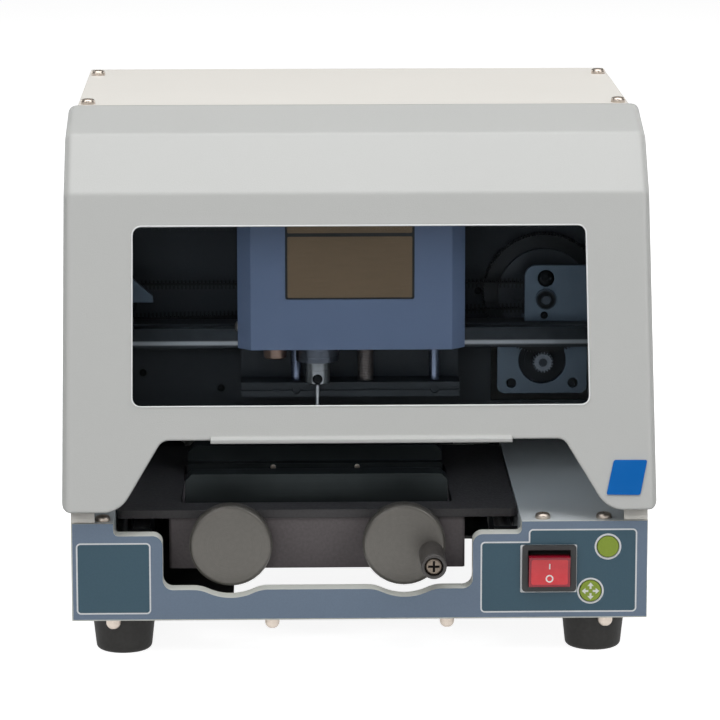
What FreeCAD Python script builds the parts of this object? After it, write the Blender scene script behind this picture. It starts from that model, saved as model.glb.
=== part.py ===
import FreeCAD, Part
import math
import os

V = FreeCAD.Vector

# Desktop engraving machine. Millimetres, X right, Y back, Z up.
# Pieces are built from the front panel's bottom edge, then set down on the feet.

# Case
base_width = 340.0
base_depth = 344.0
body_height = 286.6
deck_height = 58.8
deck_depth = 230.0
sheet = 2.0
panel_sheet = 1.5
cover_front = 149.0
cover_lip = 12.0
side_flange = 12.0
top_flange = 16.0
foot_height = 24.0
foot_top_radius = 19.0
foot_bottom_radius = 16.4
foot_side_inset = 29.6
foot_end_inset = 30.0
foot_edge = 3.0

# Front panel opening between the two consoles
left_console = 24.95
right_console = 74.45
step_width = 28.8
step_height = 51.2
rail_height = 18.4
rim_depth = 12.0
opening_corner = 6.0
dip_half = 17.8
dip_drop = 8.0
dip_round = 32.0
dip_shoulder = 20.0
pan_opening_left = -75.0
pan_opening_right = 80.0
pan_opening_front = 20.0
pan_opening_rear = 200.0

# Hood profile: front edge, bend, crown and rear edge on the outer face
hood_gap = 3.2
hood_sheet = 1.8
hood_front = -5.5
hood_bottom = 66.8
hood_bend_y = 65.0
hood_bend_drop = 41.6
hood_crown_y = 95.5
hood_crown_drop = 9.6
hood_rear_y = 140.5
hood_rear_rise = 1.9
hood_bend_radius = 6.0
hood_edge_radius = 5.0
flap_back_y = 62.0
pivot_y = 132.0
pivot_drop = 11.6
pivot_boss = 6.5
pivot_shoulder = 4.0
pivot_thread = 2.5
pivot_collar = 6.0
ear_lap = 1.0
side_setback = 8.5
window_center = 1.2
window_half = 135.2
window_low = 125.2
window_high = 226.5
window_corner = 5.0
pane_sheet = 3.0
pane_lap = 9.0
cutout_center = 2.2
cutout_top_half = 118.5
cutout_bottom_half = 143.4
cutout_top = 106.7
cutout_top_corner = 7.0
cutout_bottom_corner = 18.0
lip_center = 1.2
lip_half = 88.7
lip_reach = 8.0

# Bulkhead and X drive
bulkhead_y = 186.0
bulkhead_notch_top = 80.0
bulkhead_leg = 20.0
motor_hole_margin = 4.0
beam_y = 156.0
beam_depth = 16.0
beam_bottom = 133.5
beam_top = 149.2
rail_width = 12.0
rail_thickness = 8.0
rail_drop = 1.7
rail_inset = 8.0
rail_groove = 1.5
gear_inset = 50.0
gear_z = 163.0
gear_module = 0.6
gear_teeth = 127
pinion_teeth = 20
gear_face = 5.0
gear_back_gap = 1.0
mesh_slack = 0.12
gear_hub = 9.0
gear_web = 2.0
gear_ring_inner = 24.0
gear_ring_outer = 28.5
shaft_radius = 3.0
pulley_radius = 6.8
idler_radius = 9.7
idler_inset = 25.0
idler_pin = 2.5
belt_width = 6.0
belt_thickness = 1.7
belt_y = 172.6
bracket_sheet = 3.0
bracket_y = 160.0
bracket_top = 184.4
bracket_corner = 7.0
bearing_boss = 6.6
motor_square = 42.3
motor_length = 40.0
motor_pilot = 11.0
motor_pilot_height = 2.0
motor_shaft = 2.5
motor_corner = 4.0
plate_width = 56.8
plate_bottom = 97.5
plate_top = 165.0
plate_sheet = 3.5
plate_bore = 15.0
plate_corner = 5.0
plate_hole = 3.2
plate_hole_half = 19.5
plate_hole_z = 104.1

# Carriage and head
carriage_x = -3.0
cover_width = 137.7
cover_sheet = 1.5
cover_front_y = 82.0
cover_bottom = 146.4
cover_top_rise = 7.0
cover_bevel = 8.0
carriage_y = 138.0
carriage_thickness = 5.0
carriage_bottom = 110.0
block_length = 45.0
block_width = 27.0
block_spread = 40.0
clamp_width = 30.0
clamp_wall = 5.0
z_rod_radius = 3.0
z_rod_left = -36.3
z_rod_right = 49.05
z_rod_y = 128.0
z_bracket_height = 9.1
z_bracket_front = 119.0
z_bracket_screw = 2.6
z_bracket_groove = 1.1
z_plate_thickness = 8.0
z_plate_front = 112.0
z_motor_square = 35.2
z_motor_length = 30.0
z_screw_x = 6.5
z_screw_radius = 5.0
spindle_x = -23.5
spindle_y = 105.0
head_front = 92.0
head_back_gap = 2.0
head_bottom = 150.0
head_room = 22.0
head_side_gap = 6.0
collar_radius = 13.1
collar_bottom = 136.0
nose_radius = 7.6
nose_bottom = 121.5
spindle_radius = 5.0
set_screw_radius = 3.1
set_screw_height = 3.7
cutter_radius = 1.55
cutter_neck_radius = 1.2
cutter_neck_top = 113.0
cutter_tip = 97.0
cutter_seat = 10.0
bush_x = -49.3
bush_radius = 7.0
bush_bore = 3.0
bush_bottom = 137.4
spindle_motor_radius = 13.0
spindle_motor_length = 42.0

# Table and vise
table_gap = 1.0
table_thickness = 5.0
table_front = 34.0
table_length = 180.0
table_corner = 4.0
slot_wall = 7.1
slot_front = 53.7
vise_y = 104.85
vise_gap = 3.0
vise_front = 36.0
vise_back = 172.0
vise_bottom = 22.6
vise_wall = 8.5
vise_front_wall = 9.0
vise_floor = 4.0
jaw_side_gap = 2.4
jaw_thickness = 15.7
jaw_gap_half = 32.15
jaw_top = 75.4
jaw_bottom = 28.0
jaw_ledge = 8.0
jaw_ledge_top = 66.0
jaw_bevel = 3.8
wheel_margin = 40.05
screw_z = 41.6
vise_screw_radius = 6.0
journal_radius = 5.0
tail_radius = 4.0
vise_pulley_radius = 10.0
vise_pulley_width = 6.8
wheel_radius = 24.7
wheel_thickness = 12.0
wheel_front = 13.0
wheel_bevel = 1.5
wheel_hub = 10.0
grip_offset_x = 16.2
grip_offset_z = -5.1
grip_radius = 7.5
grip_length = 33.0
grip_bolt_radius = 3.0
grip_head_radius = 5.3
grip_head_height = 3.0
grip_recess = 4.0
runner_offset = 15.0
runner_half = 7.0
runner_length = 25.0
runner_drop = 18.0
runner_front = 75.0
runner_back = 160.0
y_rod_radius = 5.0
y_rod_z = 44.0
y_rod_end = 256.0
rod_block_length = 12.0
rod_block_front = 13.0
rod_block_top = 50.0
y_screw_radius = 4.0
nut_front = 105.0
nut_length = 20.0
nut_wall = 6.0

# Controls and electrics
switch_inset = 58.2
switch_z = 30.55
bezel_width = 32.0
bezel_height = 27.9
bezel_proud = 2.2
bezel_corner = 2.0
switch_depth = 24.0
switch_wall = 2.0
rocker_width = 24.4
rocker_height = 18.6
rocker_proud = 4.0
rocker_dish = 1.8
rocker_pivot_y = 3.4
rocker_tail = 5.0
rocker_tilt = 8.0
rocker_pin = 1.5
shift_inset = 23.5
shift_z = 43.3
jog_inset = 33.6
jog_z = 16.5
button_radius = 6.3
button_proud = 1.0
button_length = 6.0
button_flange = 7.8
button_travel = 0.8
board_y = 10.0
board_sheet = 1.6
board_inset = 9.5
board_width = 33.0
board_bottom = 6.0
board_top = 54.0
post_radius = 2.5
spider_half = 1.8
spider_pin = 0.8
yoke_in = 2.4
yoke_out = 4.2
pad_thickness = 2.2
jog_pivot_y = 6.0
inlet_inset = 60.0
socket_z = 40.0
inlet_width = 48.0
inlet_height = 28.0
inlet_hole_width = 24.0
inlet_hole_height = 16.5
inlet_body_depth = 22.0
port_inset = 110.0
port_width = 31.0
port_height = 12.5
port_hole_width = 17.0
port_hole_height = 8.5
port_body_depth = 12.0
socket_flange = 2.0
socket_wall = 2.0
supply_width = 98.0
supply_depth = 40.0
supply_height = 160.0
supply_x = -61.0
supply_drop = 19.6
board_rear_x = 40.0
board_rear_width = 80.0
board_rear_height = 140.0
board_rear_drop = 34.6
standoff_height = 8.0
vent_count = 9
vent_pitch = 9.0
vent_width = 4.0
vent_length = 70.0
vent_drop = 39.6

# Fasteners and clearances
pan_head = 4.5
pan_head_height = 3.2
pan_shank = 1.5
pan_shank_length = 6.0
bottom_head = 4.3
bottom_head_height = 6.5
bottom_screw_inner = 51.8
bottom_screw_inset = 24.2
bottom_screw_y = 6.0
cover_screw_edge = 6.0
cover_screw_front = 13.0
cover_screw_rear = 32.0
deck_screw_y = 8.5
deck_screw_left = 6.4
deck_screw_right = 12.9
deck_screw_side = 25.4
cross_width = 1.1
cross_depth = 1.6
running = 0.06
slip = 0.3
loose = 0.5

# Levels and edges worked out from the sizes above
half = base_width / 2
inner_half = half - sheet
rear_inner = base_depth - sheet
roof_under = body_height - sheet
deck_under = deck_height - panel_sheet
opening_left = left_console - half
opening_right = half - right_console
vise_x = (opening_left + opening_right) / 2
low_half = opening_right - vise_x - step_width
vise_half = low_half - vise_gap
slot_half = vise_half - slot_wall
jaw_half = slot_half - jaw_side_gap
screw_spread = low_half - wheel_margin
hood_half = half + hood_gap + hood_sheet
hood_bend_z = body_height - hood_bend_drop
hood_crown_z = body_height - hood_crown_drop
hood_rear_z = body_height + hood_rear_rise
pivot_z = body_height - pivot_drop
hood_sweep = math.hypot(hood_rear_y - pivot_y, hood_rear_z - pivot_z) + 2 * slip
hood_lean = math.atan2(hood_bend_y - hood_front, hood_bend_z - hood_bottom)
gear_x = half - gear_inset
idler_x = idler_inset - half
idler_z = gear_z + pulley_radius - idler_radius
mesh_distance = gear_module * (gear_teeth + pinion_teeth) / 2 + mesh_slack
pinion_z = gear_z - mesh_distance
gear_y = bulkhead_y - gear_back_gap - gear_face
plate_y = bulkhead_y + sheet
motor_y = plate_y + plate_sheet
cover_left = carriage_x - cover_width / 2
cover_right = carriage_x + cover_width / 2
carriage_back = carriage_y + carriage_thickness
cover_top = hood_bend_z + cover_top_rise
z_motor_bottom = cover_top - cover_sheet - loose - z_motor_length
z_plate_bottom = z_motor_bottom - z_plate_thickness
head_top = z_plate_bottom - head_room
table_left = opening_left + table_gap
table_right = opening_right - table_gap
table_under = deck_height - table_thickness
slot_back = 2 * vise_y - slot_front
screw_left = vise_x - screw_spread
screw_right = vise_x + screw_spread
runner_left = opening_left + runner_offset
runner_right = opening_right - runner_half - table_gap
y_motor_z = sheet + motor_square / 2
switch_x = half - switch_inset
shift_x = half - shift_inset
jog_x = half - jog_inset
rear_face = base_depth + socket_flange
supply_z = roof_under - supply_drop - supply_height
board_rear_z = roof_under - board_rear_drop - board_rear_height
vent_z = roof_under - vent_drop - vent_length
grip_front = wheel_front - slip - grip_length
origin_y = (grip_front + rear_face) / 2


# Helpers for boxes, rods and rounded prisms

def box(x0, x1, y0, y1, z0, z1):
    return Part.makeBox(x1 - x0, y1 - y0, z1 - z0, V(x0, y0, z0))


def rod_x(radius, x0, x1, y, z):
    return Part.makeCylinder(radius, x1 - x0, V(x0, y, z), V(1, 0, 0))


def rod_y(radius, y0, y1, x, z):
    return Part.makeCylinder(radius, y1 - y0, V(x, y0, z), V(0, 1, 0))


def rod_z(radius, z0, z1, x, y):
    return Part.makeCylinder(radius, z1 - z0, V(x, y, z0), V(0, 0, 1))


def rounded_wire(corners):
    """Closed wire through (point, radius) corners, with an arc at each rounded one."""
    ends = []
    count = len(corners)
    for i, (point, radius) in enumerate(corners):
        if radius == 0:
            ends.append((point, None, point))
            continue
        to_last = (corners[i - 1][0] - point).normalize()
        to_next = (corners[(i + 1) % count][0] - point).normalize()
        half_angle = to_last.getAngle(to_next) / 2
        reach = radius / math.tan(half_angle)
        inward = (to_last + to_next).normalize()
        middle = point + inward * (radius / math.sin(half_angle) - radius)
        ends.append((point + to_last * reach, middle, point + to_next * reach))
    edges = []
    for i, (start, middle, stop) in enumerate(ends):
        if middle is not None:
            edges.append(Part.Arc(start, middle, stop).toShape())
        following = ends[(i + 1) % count][0]
        if (following - stop).Length > 1e-6:
            edges.append(Part.makeLine(stop, following))
    return Part.Wire(edges)


def prism_x(corners, x0, x1):
    wire = rounded_wire([(V(x0, y, z), r) for y, z, r in corners])
    return Part.Face(wire).extrude(V(x1 - x0, 0, 0))


def prism_y(corners, y0, y1):
    wire = rounded_wire([(V(x, y0, z), r) for x, z, r in corners])
    return Part.Face(wire).extrude(V(0, y1 - y0, 0))


def prism_z(corners, z0, z1):
    wire = rounded_wire([(V(x, y, z0), r) for x, y, r in corners])
    return Part.Face(wire).extrude(V(0, 0, z1 - z0))


def rectangle(u0, u1, v0, v1, radius):
    return [(u0, v0, radius), (u1, v0, radius), (u1, v1, radius), (u0, v1, radius)]


def mirrored(shape):
    return shape.mirror(V(0, 0, 0), V(1, 0, 0))


def belt_outline(left, left_radius, right, right_radius, y):
    """Face round two pulleys at (x, z) centres, with straight tangent runs."""
    c1 = V(left[0], y, left[1])
    c2 = V(right[0], y, right[1])
    along = (c2 - c1).normalize()
    across = V(-along.z, 0, along.x)
    tilt = (left_radius - right_radius) / (c2 - c1).Length
    rise = math.sqrt(1 - tilt * tilt)
    upper = along * tilt + across * rise
    lower = along * tilt - across * rise
    p1 = c1 + upper * left_radius
    p2 = c2 + upper * right_radius
    p3 = c2 + lower * right_radius
    p4 = c1 + lower * left_radius
    far_right = Part.Arc(p2, c2 + along * right_radius, p3).toShape()
    far_left = Part.Arc(p4, c1 - along * left_radius, p1).toShape()
    runs = [Part.makeLine(p1, p2), far_right, Part.makeLine(p3, p4), far_left]
    return Part.Face(Part.Wire(runs))


def belt(left, left_radius, right, right_radius, thickness, y0, y1):
    outer = belt_outline(left, left_radius + thickness, right, right_radius + thickness, y0)
    inner = belt_outline(left, left_radius, right, right_radius, y0)
    return outer.cut(inner).extrude(V(0, y1 - y0, 0))


def gear_blank(teeth, module, y0, y1, x, z, tooth_down):
    """Spur gear on a Y axis, with a tooth or a gap straight below its centre."""
    root = module * (teeth / 2 - 1.25)
    tip = module * (teeth / 2 + 1)
    pitch = 2 * math.pi / teeth
    root_half = 0.30 * pitch
    tip_half = 0.13 * pitch
    start = -math.pi / 2 if tooth_down else -math.pi / 2 + pitch / 2
    points = []
    for tooth in range(teeth):
        middle = start + tooth * pitch
        for angle, radius in ((-root_half, root), (-tip_half, tip), (tip_half, tip), (root_half, root)):
            points.append(V(x + radius * math.cos(middle + angle), y0, z + radius * math.sin(middle + angle)))
    points.append(points[0])
    return Part.Face(Part.makePolygon(points)).extrude(V(0, y1 - y0, 0))


def screw(head_radius, head_height, shank_radius, shank_length):
    """Round-head screw along Z: the head stands on Z = 0 and the shank goes down."""
    head = Part.makeCylinder(head_radius, head_height)
    top_edges = [e for e in head.Edges if abs(e.BoundBox.ZMin - head_height) < 1e-6]
    head = head.makeFillet(head_height * 0.6, top_edges)
    shank = Part.makeCylinder(shank_radius, shank_length, V(0, 0, -shank_length))
    arm = head_radius * 0.55
    floor = head_height - cross_depth
    slot_a = box(-arm, arm, -cross_width / 2, cross_width / 2, floor, head_height)
    slot_b = box(-cross_width / 2, cross_width / 2, -arm, arm, floor, head_height)
    return head.fuse(shank).cut([slot_a, slot_b]).removeSplitter()


def aimed(shape, point, direction):
    copy = shape.copy()
    copy.Placement = FreeCAD.Placement(point, FreeCAD.Rotation(V(0, 0, 1), direction))
    return copy


def stepper(square, length, shaft_hole):
    """Stepper motor along Z: mounting face at Z = 0, pilot above it, body below."""
    h = square / 2
    body = prism_z(rectangle(-h, h, -h, h, motor_corner), -length, 0)
    pilot = Part.makeCylinder(motor_pilot, motor_pilot_height)
    hole = Part.makeCylinder(shaft_hole, length / 2 + motor_pilot_height, V(0, 0, -length / 2))
    return body.fuse(pilot).cut(hole).removeSplitter()


def hood_profile(inset):
    """Front, bend, crown and rear points of the hood's fold line, moved inwards."""
    points = [
        (hood_front, hood_bottom),
        (hood_bend_y, hood_bend_z),
        (hood_crown_y, hood_crown_z),
        (hood_rear_y, hood_rear_z),
    ]
    lines = []
    for (y0, z0), (y1, z1) in zip(points, points[1:]):
        length = math.hypot(y1 - y0, z1 - z0)
        ny = (z1 - z0) / length
        nz = -(y1 - y0) / length
        lines.append((y0 + ny * inset, z0 + nz * inset, y1 + ny * inset, z1 + nz * inset))
    moved = [(lines[0][0], lines[0][1])]
    for first, second in zip(lines, lines[1:]):
        ay = first[2] - first[0]
        az = first[3] - first[1]
        by = second[2] - second[0]
        bz = second[3] - second[1]
        t = ((second[0] - first[0]) * bz - (second[1] - first[1]) * by) / (ay * bz - az * by)
        moved.append((first[0] + t * ay, first[1] + t * az))
    moved.append((lines[-1][2], lines[-1][3]))
    return moved


def on_hood(x, z, depth):
    """Point on the hood's leaning front face at height z, moved inwards by depth."""
    y = hood_front + (z - hood_bottom) * math.tan(hood_lean)
    return V(x, y + depth * math.cos(hood_lean), z - depth * math.sin(hood_lean))


def prism_hood(corners, depth0, depth1):
    wire = rounded_wire([(on_hood(x, z, depth0), r) for x, z, r in corners])
    step = on_hood(0, hood_bottom, depth1) - on_hood(0, hood_bottom, depth0)
    return Part.Face(wire).extrude(step)


# Case

bottom_screw_x = [
    -half + bottom_screw_inset,
    -bottom_screw_inner,
    bottom_screw_inner,
    half - bottom_screw_inset,
]
cover_screw_x = half - cover_screw_edge
cover_screw_y = [cover_front + cover_screw_front, base_depth - cover_screw_rear]
deck_screws = [
    (opening_left - deck_screw_left, deck_screw_y),
    (opening_right + deck_screw_right, deck_screw_y),
    (half - deck_screw_side, deck_screw_y),
]


def bottom_pan():
    pan = box(-inner_half, inner_half, panel_sheet, rear_inner, 0, sheet)
    opening = prism_z(
        rectangle(pan_opening_left, pan_opening_right, pan_opening_front, pan_opening_rear, opening_corner),
        -sheet, 2 * sheet)
    holes = [rod_z(pan_shank + slip, -sheet, 2 * sheet, x, bottom_screw_y) for x in bottom_screw_x]
    return pan.cut([opening] + holes)


def panel_opening():
    left = vise_x - low_half
    right = vise_x + low_half
    above = deck_height + rim_depth
    inside = opening_corner / 2
    corners = [
        (opening_left, above, 0),
        (opening_left, step_height, inside),
        (left, step_height, opening_corner),
        (left, rail_height, opening_corner),
    ]
    for x in (screw_left, screw_right):
        corners += [
            (x - dip_half, rail_height, dip_shoulder),
            (x, rail_height - dip_drop, dip_round),
            (x + dip_half, rail_height, dip_shoulder),
        ]
    corners += [
        (right, rail_height, opening_corner),
        (right, step_height, opening_corner),
        (opening_right, step_height, inside),
        (opening_right, above, 0),
    ]
    return Part.Face(rounded_wire([(V(x, 0, z), r) for x, z, r in corners]))


def front_panel():
    opening = panel_opening()
    face = box(-half, half, 0, panel_sheet, 0, deck_height)
    rim = opening.makeOffset2D(panel_sheet).extrude(V(0, rim_depth, 0))
    rim = rim.common(box(-inner_half, inner_half, 0, rim_depth, sheet, deck_under))
    flange_back = rim_depth + 2 * panel_sheet
    foot = box(-inner_half, inner_half, panel_sheet, flange_back, sheet, sheet + panel_sheet)
    tops = []
    for x0, x1 in ((-inner_half, opening_left), (opening_right, inner_half)):
        tops.append(box(x0, x1, panel_sheet, flange_back, deck_under - panel_sheet, deck_under))
    cuts = [opening.extrude(V(0, 2 * rim_depth, 0))]
    mouth_x = bezel_width / 2 - switch_wall
    mouth_z = bezel_height / 2 - switch_wall
    cuts.append(box(switch_x - mouth_x, switch_x + mouth_x, -sheet, 2 * sheet,
                    switch_z - mouth_z, switch_z + mouth_z))
    cuts.append(rod_y(button_radius + slip, -sheet, 2 * sheet, shift_x, shift_z))
    cuts.append(rod_y(button_radius + loose, -sheet, 2 * sheet, jog_x, jog_z))
    for x in bottom_screw_x:
        cuts.append(rod_z(pan_shank + slip, 0, deck_height / 4, x, bottom_screw_y))
    for x, y in deck_screws:
        cuts.append(rod_z(pan_shank + slip, deck_height / 2, deck_height, x, y))
    return face.fuse([rim, foot] + tops).cut(cuts).removeSplitter()


def console_decks():
    wall_front = rim_depth + 2 * panel_sheet + loose
    right = box(opening_right, inner_half, panel_sheet, deck_depth, deck_under, deck_height)
    right_wall = box(opening_right, opening_right + panel_sheet, wall_front, deck_depth, sheet, deck_under)
    left = box(-inner_half, opening_left, panel_sheet, deck_depth, deck_under, deck_height)
    left_wall = box(opening_left - panel_sheet, opening_left, wall_front, deck_depth, sheet, deck_under)
    holes = [rod_z(pan_shank + slip, 0, 2 * deck_height, x, y) for x, y in deck_screws]
    return Part.Compound([right.fuse(right_wall).cut(holes), left.fuse(left_wall).cut(holes)])


def right_side_panel():
    line = hood_profile(side_setback)
    toe_z = line[0][1] + (panel_sheet - line[0][0]) / math.tan(hood_lean)
    corners = [
        (panel_sheet, 0, 0), (base_depth, 0, 0), (base_depth, roof_under, 0), (cover_front, roof_under, 0),
        (line[2][0], line[2][1], 0), (line[1][0], line[1][1], 0), (panel_sheet, toe_z, 0),
    ]
    wall = prism_x(corners, inner_half, half)
    wall = wall.cut(rod_x(hood_sweep, inner_half, half, pivot_y, pivot_z))
    tongue = box(inner_half, half, pivot_y - pivot_boss, pivot_y + pivot_boss,
                 pivot_z - 2 * hood_sweep, pivot_z)
    tongue = tongue.fuse(rod_x(pivot_boss, inner_half, half, pivot_y, pivot_z))
    inner_line = hood_profile(side_setback + sheet)
    flange_low = deck_height + slip
    flange_back = panel_sheet + sheet / math.cos(hood_lean)
    flange = prism_x([
        (panel_sheet, flange_low, 0), (panel_sheet, toe_z, 0), (line[1][0], line[1][1], 0),
        (inner_line[1][0], inner_line[1][1], 0), (flange_back, toe_z, 0), (flange_back, flange_low, 0),
    ], inner_half - side_flange, inner_half)
    top = box(inner_half - top_flange, inner_half, cover_front + sheet, rear_inner,
              roof_under - sheet, roof_under)
    holes = [rod_z(pan_shank + slip, deck_height, body_height, cover_screw_x, y) for y in cover_screw_y]
    holes.append(rod_x(pivot_thread + running, 0, base_width, pivot_y, pivot_z))
    return wall.fuse([tongue, flange, top]).cut(holes).removeSplitter()


def side_panels():
    right = right_side_panel()
    return Part.Compound([right, mirrored(right)])


def rear_panel():
    panel = box(-inner_half, inner_half, rear_inner, base_depth, 0, roof_under)
    cuts = []
    for x, width, height in (
            (half - inlet_inset, inlet_hole_width, inlet_hole_height),
            (half - port_inset, port_hole_width, port_hole_height)):
        w = width / 2 + socket_wall + slip
        h = height / 2 + socket_wall + slip
        cuts.append(box(x - w, x + w, rear_inner - sheet, base_depth + sheet, socket_z - h, socket_z + h))
    for i in range(vent_count):
        x = (i - (vent_count - 1) / 2) * vent_pitch
        slot = rectangle(x - vent_width / 2, x + vent_width / 2, vent_z, vent_z + vent_length,
                         vent_width * 0.49)
        cuts.append(prism_y(slot, rear_inner - sheet, base_depth + sheet))
    return panel.cut(cuts)


def top_cover():
    plate = prism_z(rectangle(-half, half, cover_front, base_depth, sheet), roof_under, body_height)
    lip_half_width = inner_half - top_flange - loose
    lip = box(-lip_half_width, lip_half_width, cover_front + sheet, cover_front + 2 * sheet,
              roof_under - cover_lip, roof_under)
    holes = []
    for x in (-cover_screw_x, cover_screw_x):
        for y in cover_screw_y:
            holes.append(rod_z(pan_shank + slip, deck_height, 2 * body_height, x, y))
    return plate.fuse(lip).cut(holes).removeSplitter()


def bulkhead():
    wall = box(-inner_half, inner_half, bulkhead_y, bulkhead_y + sheet, deck_height, roof_under - loose)
    notch = box(opening_left, inner_half - bulkhead_leg, 0, base_depth, 0, bulkhead_notch_top)
    hole = box(gear_x - plate_width / 2 - motor_hole_margin, gear_x + plate_width / 2 + motor_hole_margin,
               0, base_depth, plate_bottom - motor_hole_margin, beam_top)
    under_roof = box(-base_width, base_width, 0, base_depth, roof_under - sheet - loose, body_height)
    corners = []
    for x0, x1 in ((-inner_half, top_flange - inner_half), (inner_half - top_flange, inner_half)):
        corners.append(under_roof.common(box(x0, x1, 0, base_depth, 0, body_height)))
    return wall.cut([notch, hole] + corners)


def rubber_feet():
    foot = Part.makeCone(foot_bottom_radius, foot_top_radius, foot_height, V(0, 0, -foot_height))
    low_edges = [e for e in foot.Edges if abs(e.BoundBox.ZMax + foot_height) < 1e-6]
    foot = foot.makeFillet(foot_edge, low_edges)
    foot = foot.cut(Part.makeCylinder(foot_bottom_radius / 2, foot_height / 2, V(0, 0, -foot_height)))
    feet = []
    for x in (foot_side_inset - half, half - foot_side_inset):
        for y in (foot_end_inset, base_depth - foot_end_inset):
            feet.append(foot.translated(V(x, y, 0)))
    return Part.Compound(feet)


def pan_screws():
    one = screw(pan_head, pan_head_height, pan_shank, pan_shank_length)
    places = [V(x, y, deck_height) for x, y in deck_screws]
    for x in (-cover_screw_x, cover_screw_x):
        places += [V(x, y, body_height) for y in cover_screw_y]
    return Part.Compound([one.translated(p) for p in places])


def bottom_screws():
    one = screw(bottom_head, bottom_head_height, pan_shank, pan_shank_length)
    return Part.Compound([aimed(one, V(x, bottom_screw_y, 0), V(0, 0, -1)) for x in bottom_screw_x])


# Hood

def hood_body(inset, x_half):
    """Closed body under the fold line; a larger inset gives the hollow inside the sheet."""
    line = hood_profile(inset)
    past = 0 if inset == 0 else hood_sheet * 3
    lean_y = math.sin(hood_lean) * past
    lean_z = math.cos(hood_lean) * past
    radius = hood_bend_radius - inset
    rear_drop = (hood_rear_z - hood_crown_z) / (hood_rear_y - hood_crown_y)
    corners = [
        (line[0][0] - lean_y, line[0][1] - lean_z, 0),
        (line[1][0], line[1][1], radius),
        (line[2][0], line[2][1], radius),
        (line[3][0] + past, line[3][1] + past * rear_drop, 0),
        (hood_rear_y + past, pivot_z - 2 * pivot_boss, 0),
        (flap_back_y + past, hood_bottom - lean_z, 0),
    ]
    return prism_x(corners, -x_half, x_half)


def on_fold(point):
    """True on the folded front and top, above the straight line from toe to rear edge."""
    rise = (hood_rear_z - hood_bottom) / (hood_rear_y - hood_front)
    return point.z > hood_bottom + (point.y - hood_front) * rise


def hood_ear():
    """Round end of the right flap, which hides the notch behind the pivot."""
    reach = hood_sweep + ear_lap
    corner = reach / 2
    return prism_x([
        (pivot_y - corner, pivot_z, 0), (hood_rear_y, hood_rear_z - hood_edge_radius, 0),
        (pivot_y + reach, pivot_z + corner, corner / 2), (pivot_y + reach, pivot_z - corner, corner / 2),
        (pivot_y + corner, pivot_z - reach, corner / 2), (pivot_y - corner, pivot_z - reach, 0),
    ], hood_half - hood_sheet, hood_half)


def hood_shell():
    outer = hood_body(0, hood_half)
    side_edges = [e for e in outer.Edges if e.BoundBox.XLength < 1e-6 and on_fold(e.CenterOfMass)]
    outer = outer.makeFillet(hood_edge_radius, side_edges)
    shell = outer.cut(hood_body(hood_sheet, hood_half - hood_sheet))
    toe = prism_y([
        (-hood_half, hood_bottom, hood_edge_radius), (hood_half, hood_bottom, hood_edge_radius),
        (hood_half, 2 * body_height, 0), (-hood_half, 2 * body_height, 0)], -base_depth, base_depth)
    window = prism_hood(rectangle(window_center - window_half, window_center + window_half,
                                  window_low, window_high, window_corner), -hood_sheet, 2 * hood_sheet)
    far = hood_bottom - cutout_bottom_corner
    spread = cutout_bottom_half + cutout_bottom_corner * 2
    cutout = prism_hood([
        (cutout_center - cutout_top_half, cutout_top, cutout_top_corner),
        (cutout_center - cutout_bottom_half, hood_bottom, cutout_bottom_corner),
        (cutout_center - spread, hood_bottom, 0), (cutout_center - spread, far, 0),
        (cutout_center + spread, far, 0), (cutout_center + spread, hood_bottom, 0),
        (cutout_center + cutout_bottom_half, hood_bottom, cutout_bottom_corner),
        (cutout_center + cutout_top_half, cutout_top, cutout_top_corner),
    ], -hood_sheet * 2, hood_sheet * 2)
    edge = on_hood(0, cutout_top, 0)
    inner = on_hood(0, cutout_top, hood_sheet)
    lip = prism_x([
        (inner.y, inner.z, 0), (edge.y - lip_reach, edge.z - hood_sheet / 3, 0),
        (edge.y - lip_reach, edge.z + hood_sheet, hood_sheet / 3), (inner.y, edge.z + hood_sheet, 0)],
        lip_center - lip_half, lip_center + lip_half)
    pin_hole = rod_x(pivot_shoulder + running, -base_width, base_width, pivot_y, pivot_z)
    shell = shell.common(toe).cut([window, cutout])
    return shell.fuse([lip, hood_ear(), mirrored(hood_ear())]).cut(pin_hole).removeSplitter()


def window_pane():
    return prism_hood(rectangle(
        window_center - window_half - pane_lap, window_center + window_half + pane_lap,
        window_low - pane_lap, window_high + pane_lap, window_corner), hood_sheet, hood_sheet + pane_sheet)


def hood_pivots():
    shoulder = rod_x(pivot_shoulder, half, hood_half, pivot_y, pivot_z)
    collar = rod_x(pivot_collar, half, half + hood_gap - slip, pivot_y, pivot_z)
    thread = rod_x(pivot_thread, inner_half - sheet, half, pivot_y, pivot_z)
    nut = rod_x(pivot_collar, inner_half - 2 * sheet, inner_half, pivot_y, pivot_z)
    right = shoulder.fuse([collar, thread, nut]).removeSplitter()
    return Part.Compound([right, mirrored(right)])


# X beam and drive

def x_beam():
    return box(-inner_half, inner_half, beam_y, beam_y + beam_depth, beam_bottom, beam_top)


def x_rail():
    x_end = inner_half - rail_inset
    top = beam_top - rail_drop
    rail = box(-x_end, x_end, beam_y - rail_thickness, beam_y, top - rail_width, top)
    middle = beam_y - rail_thickness / 2
    grooves = [rod_x(rail_groove, -x_end, x_end, middle, z) for z in (top, top - rail_width)]
    return rail.cut(grooves)


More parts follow.
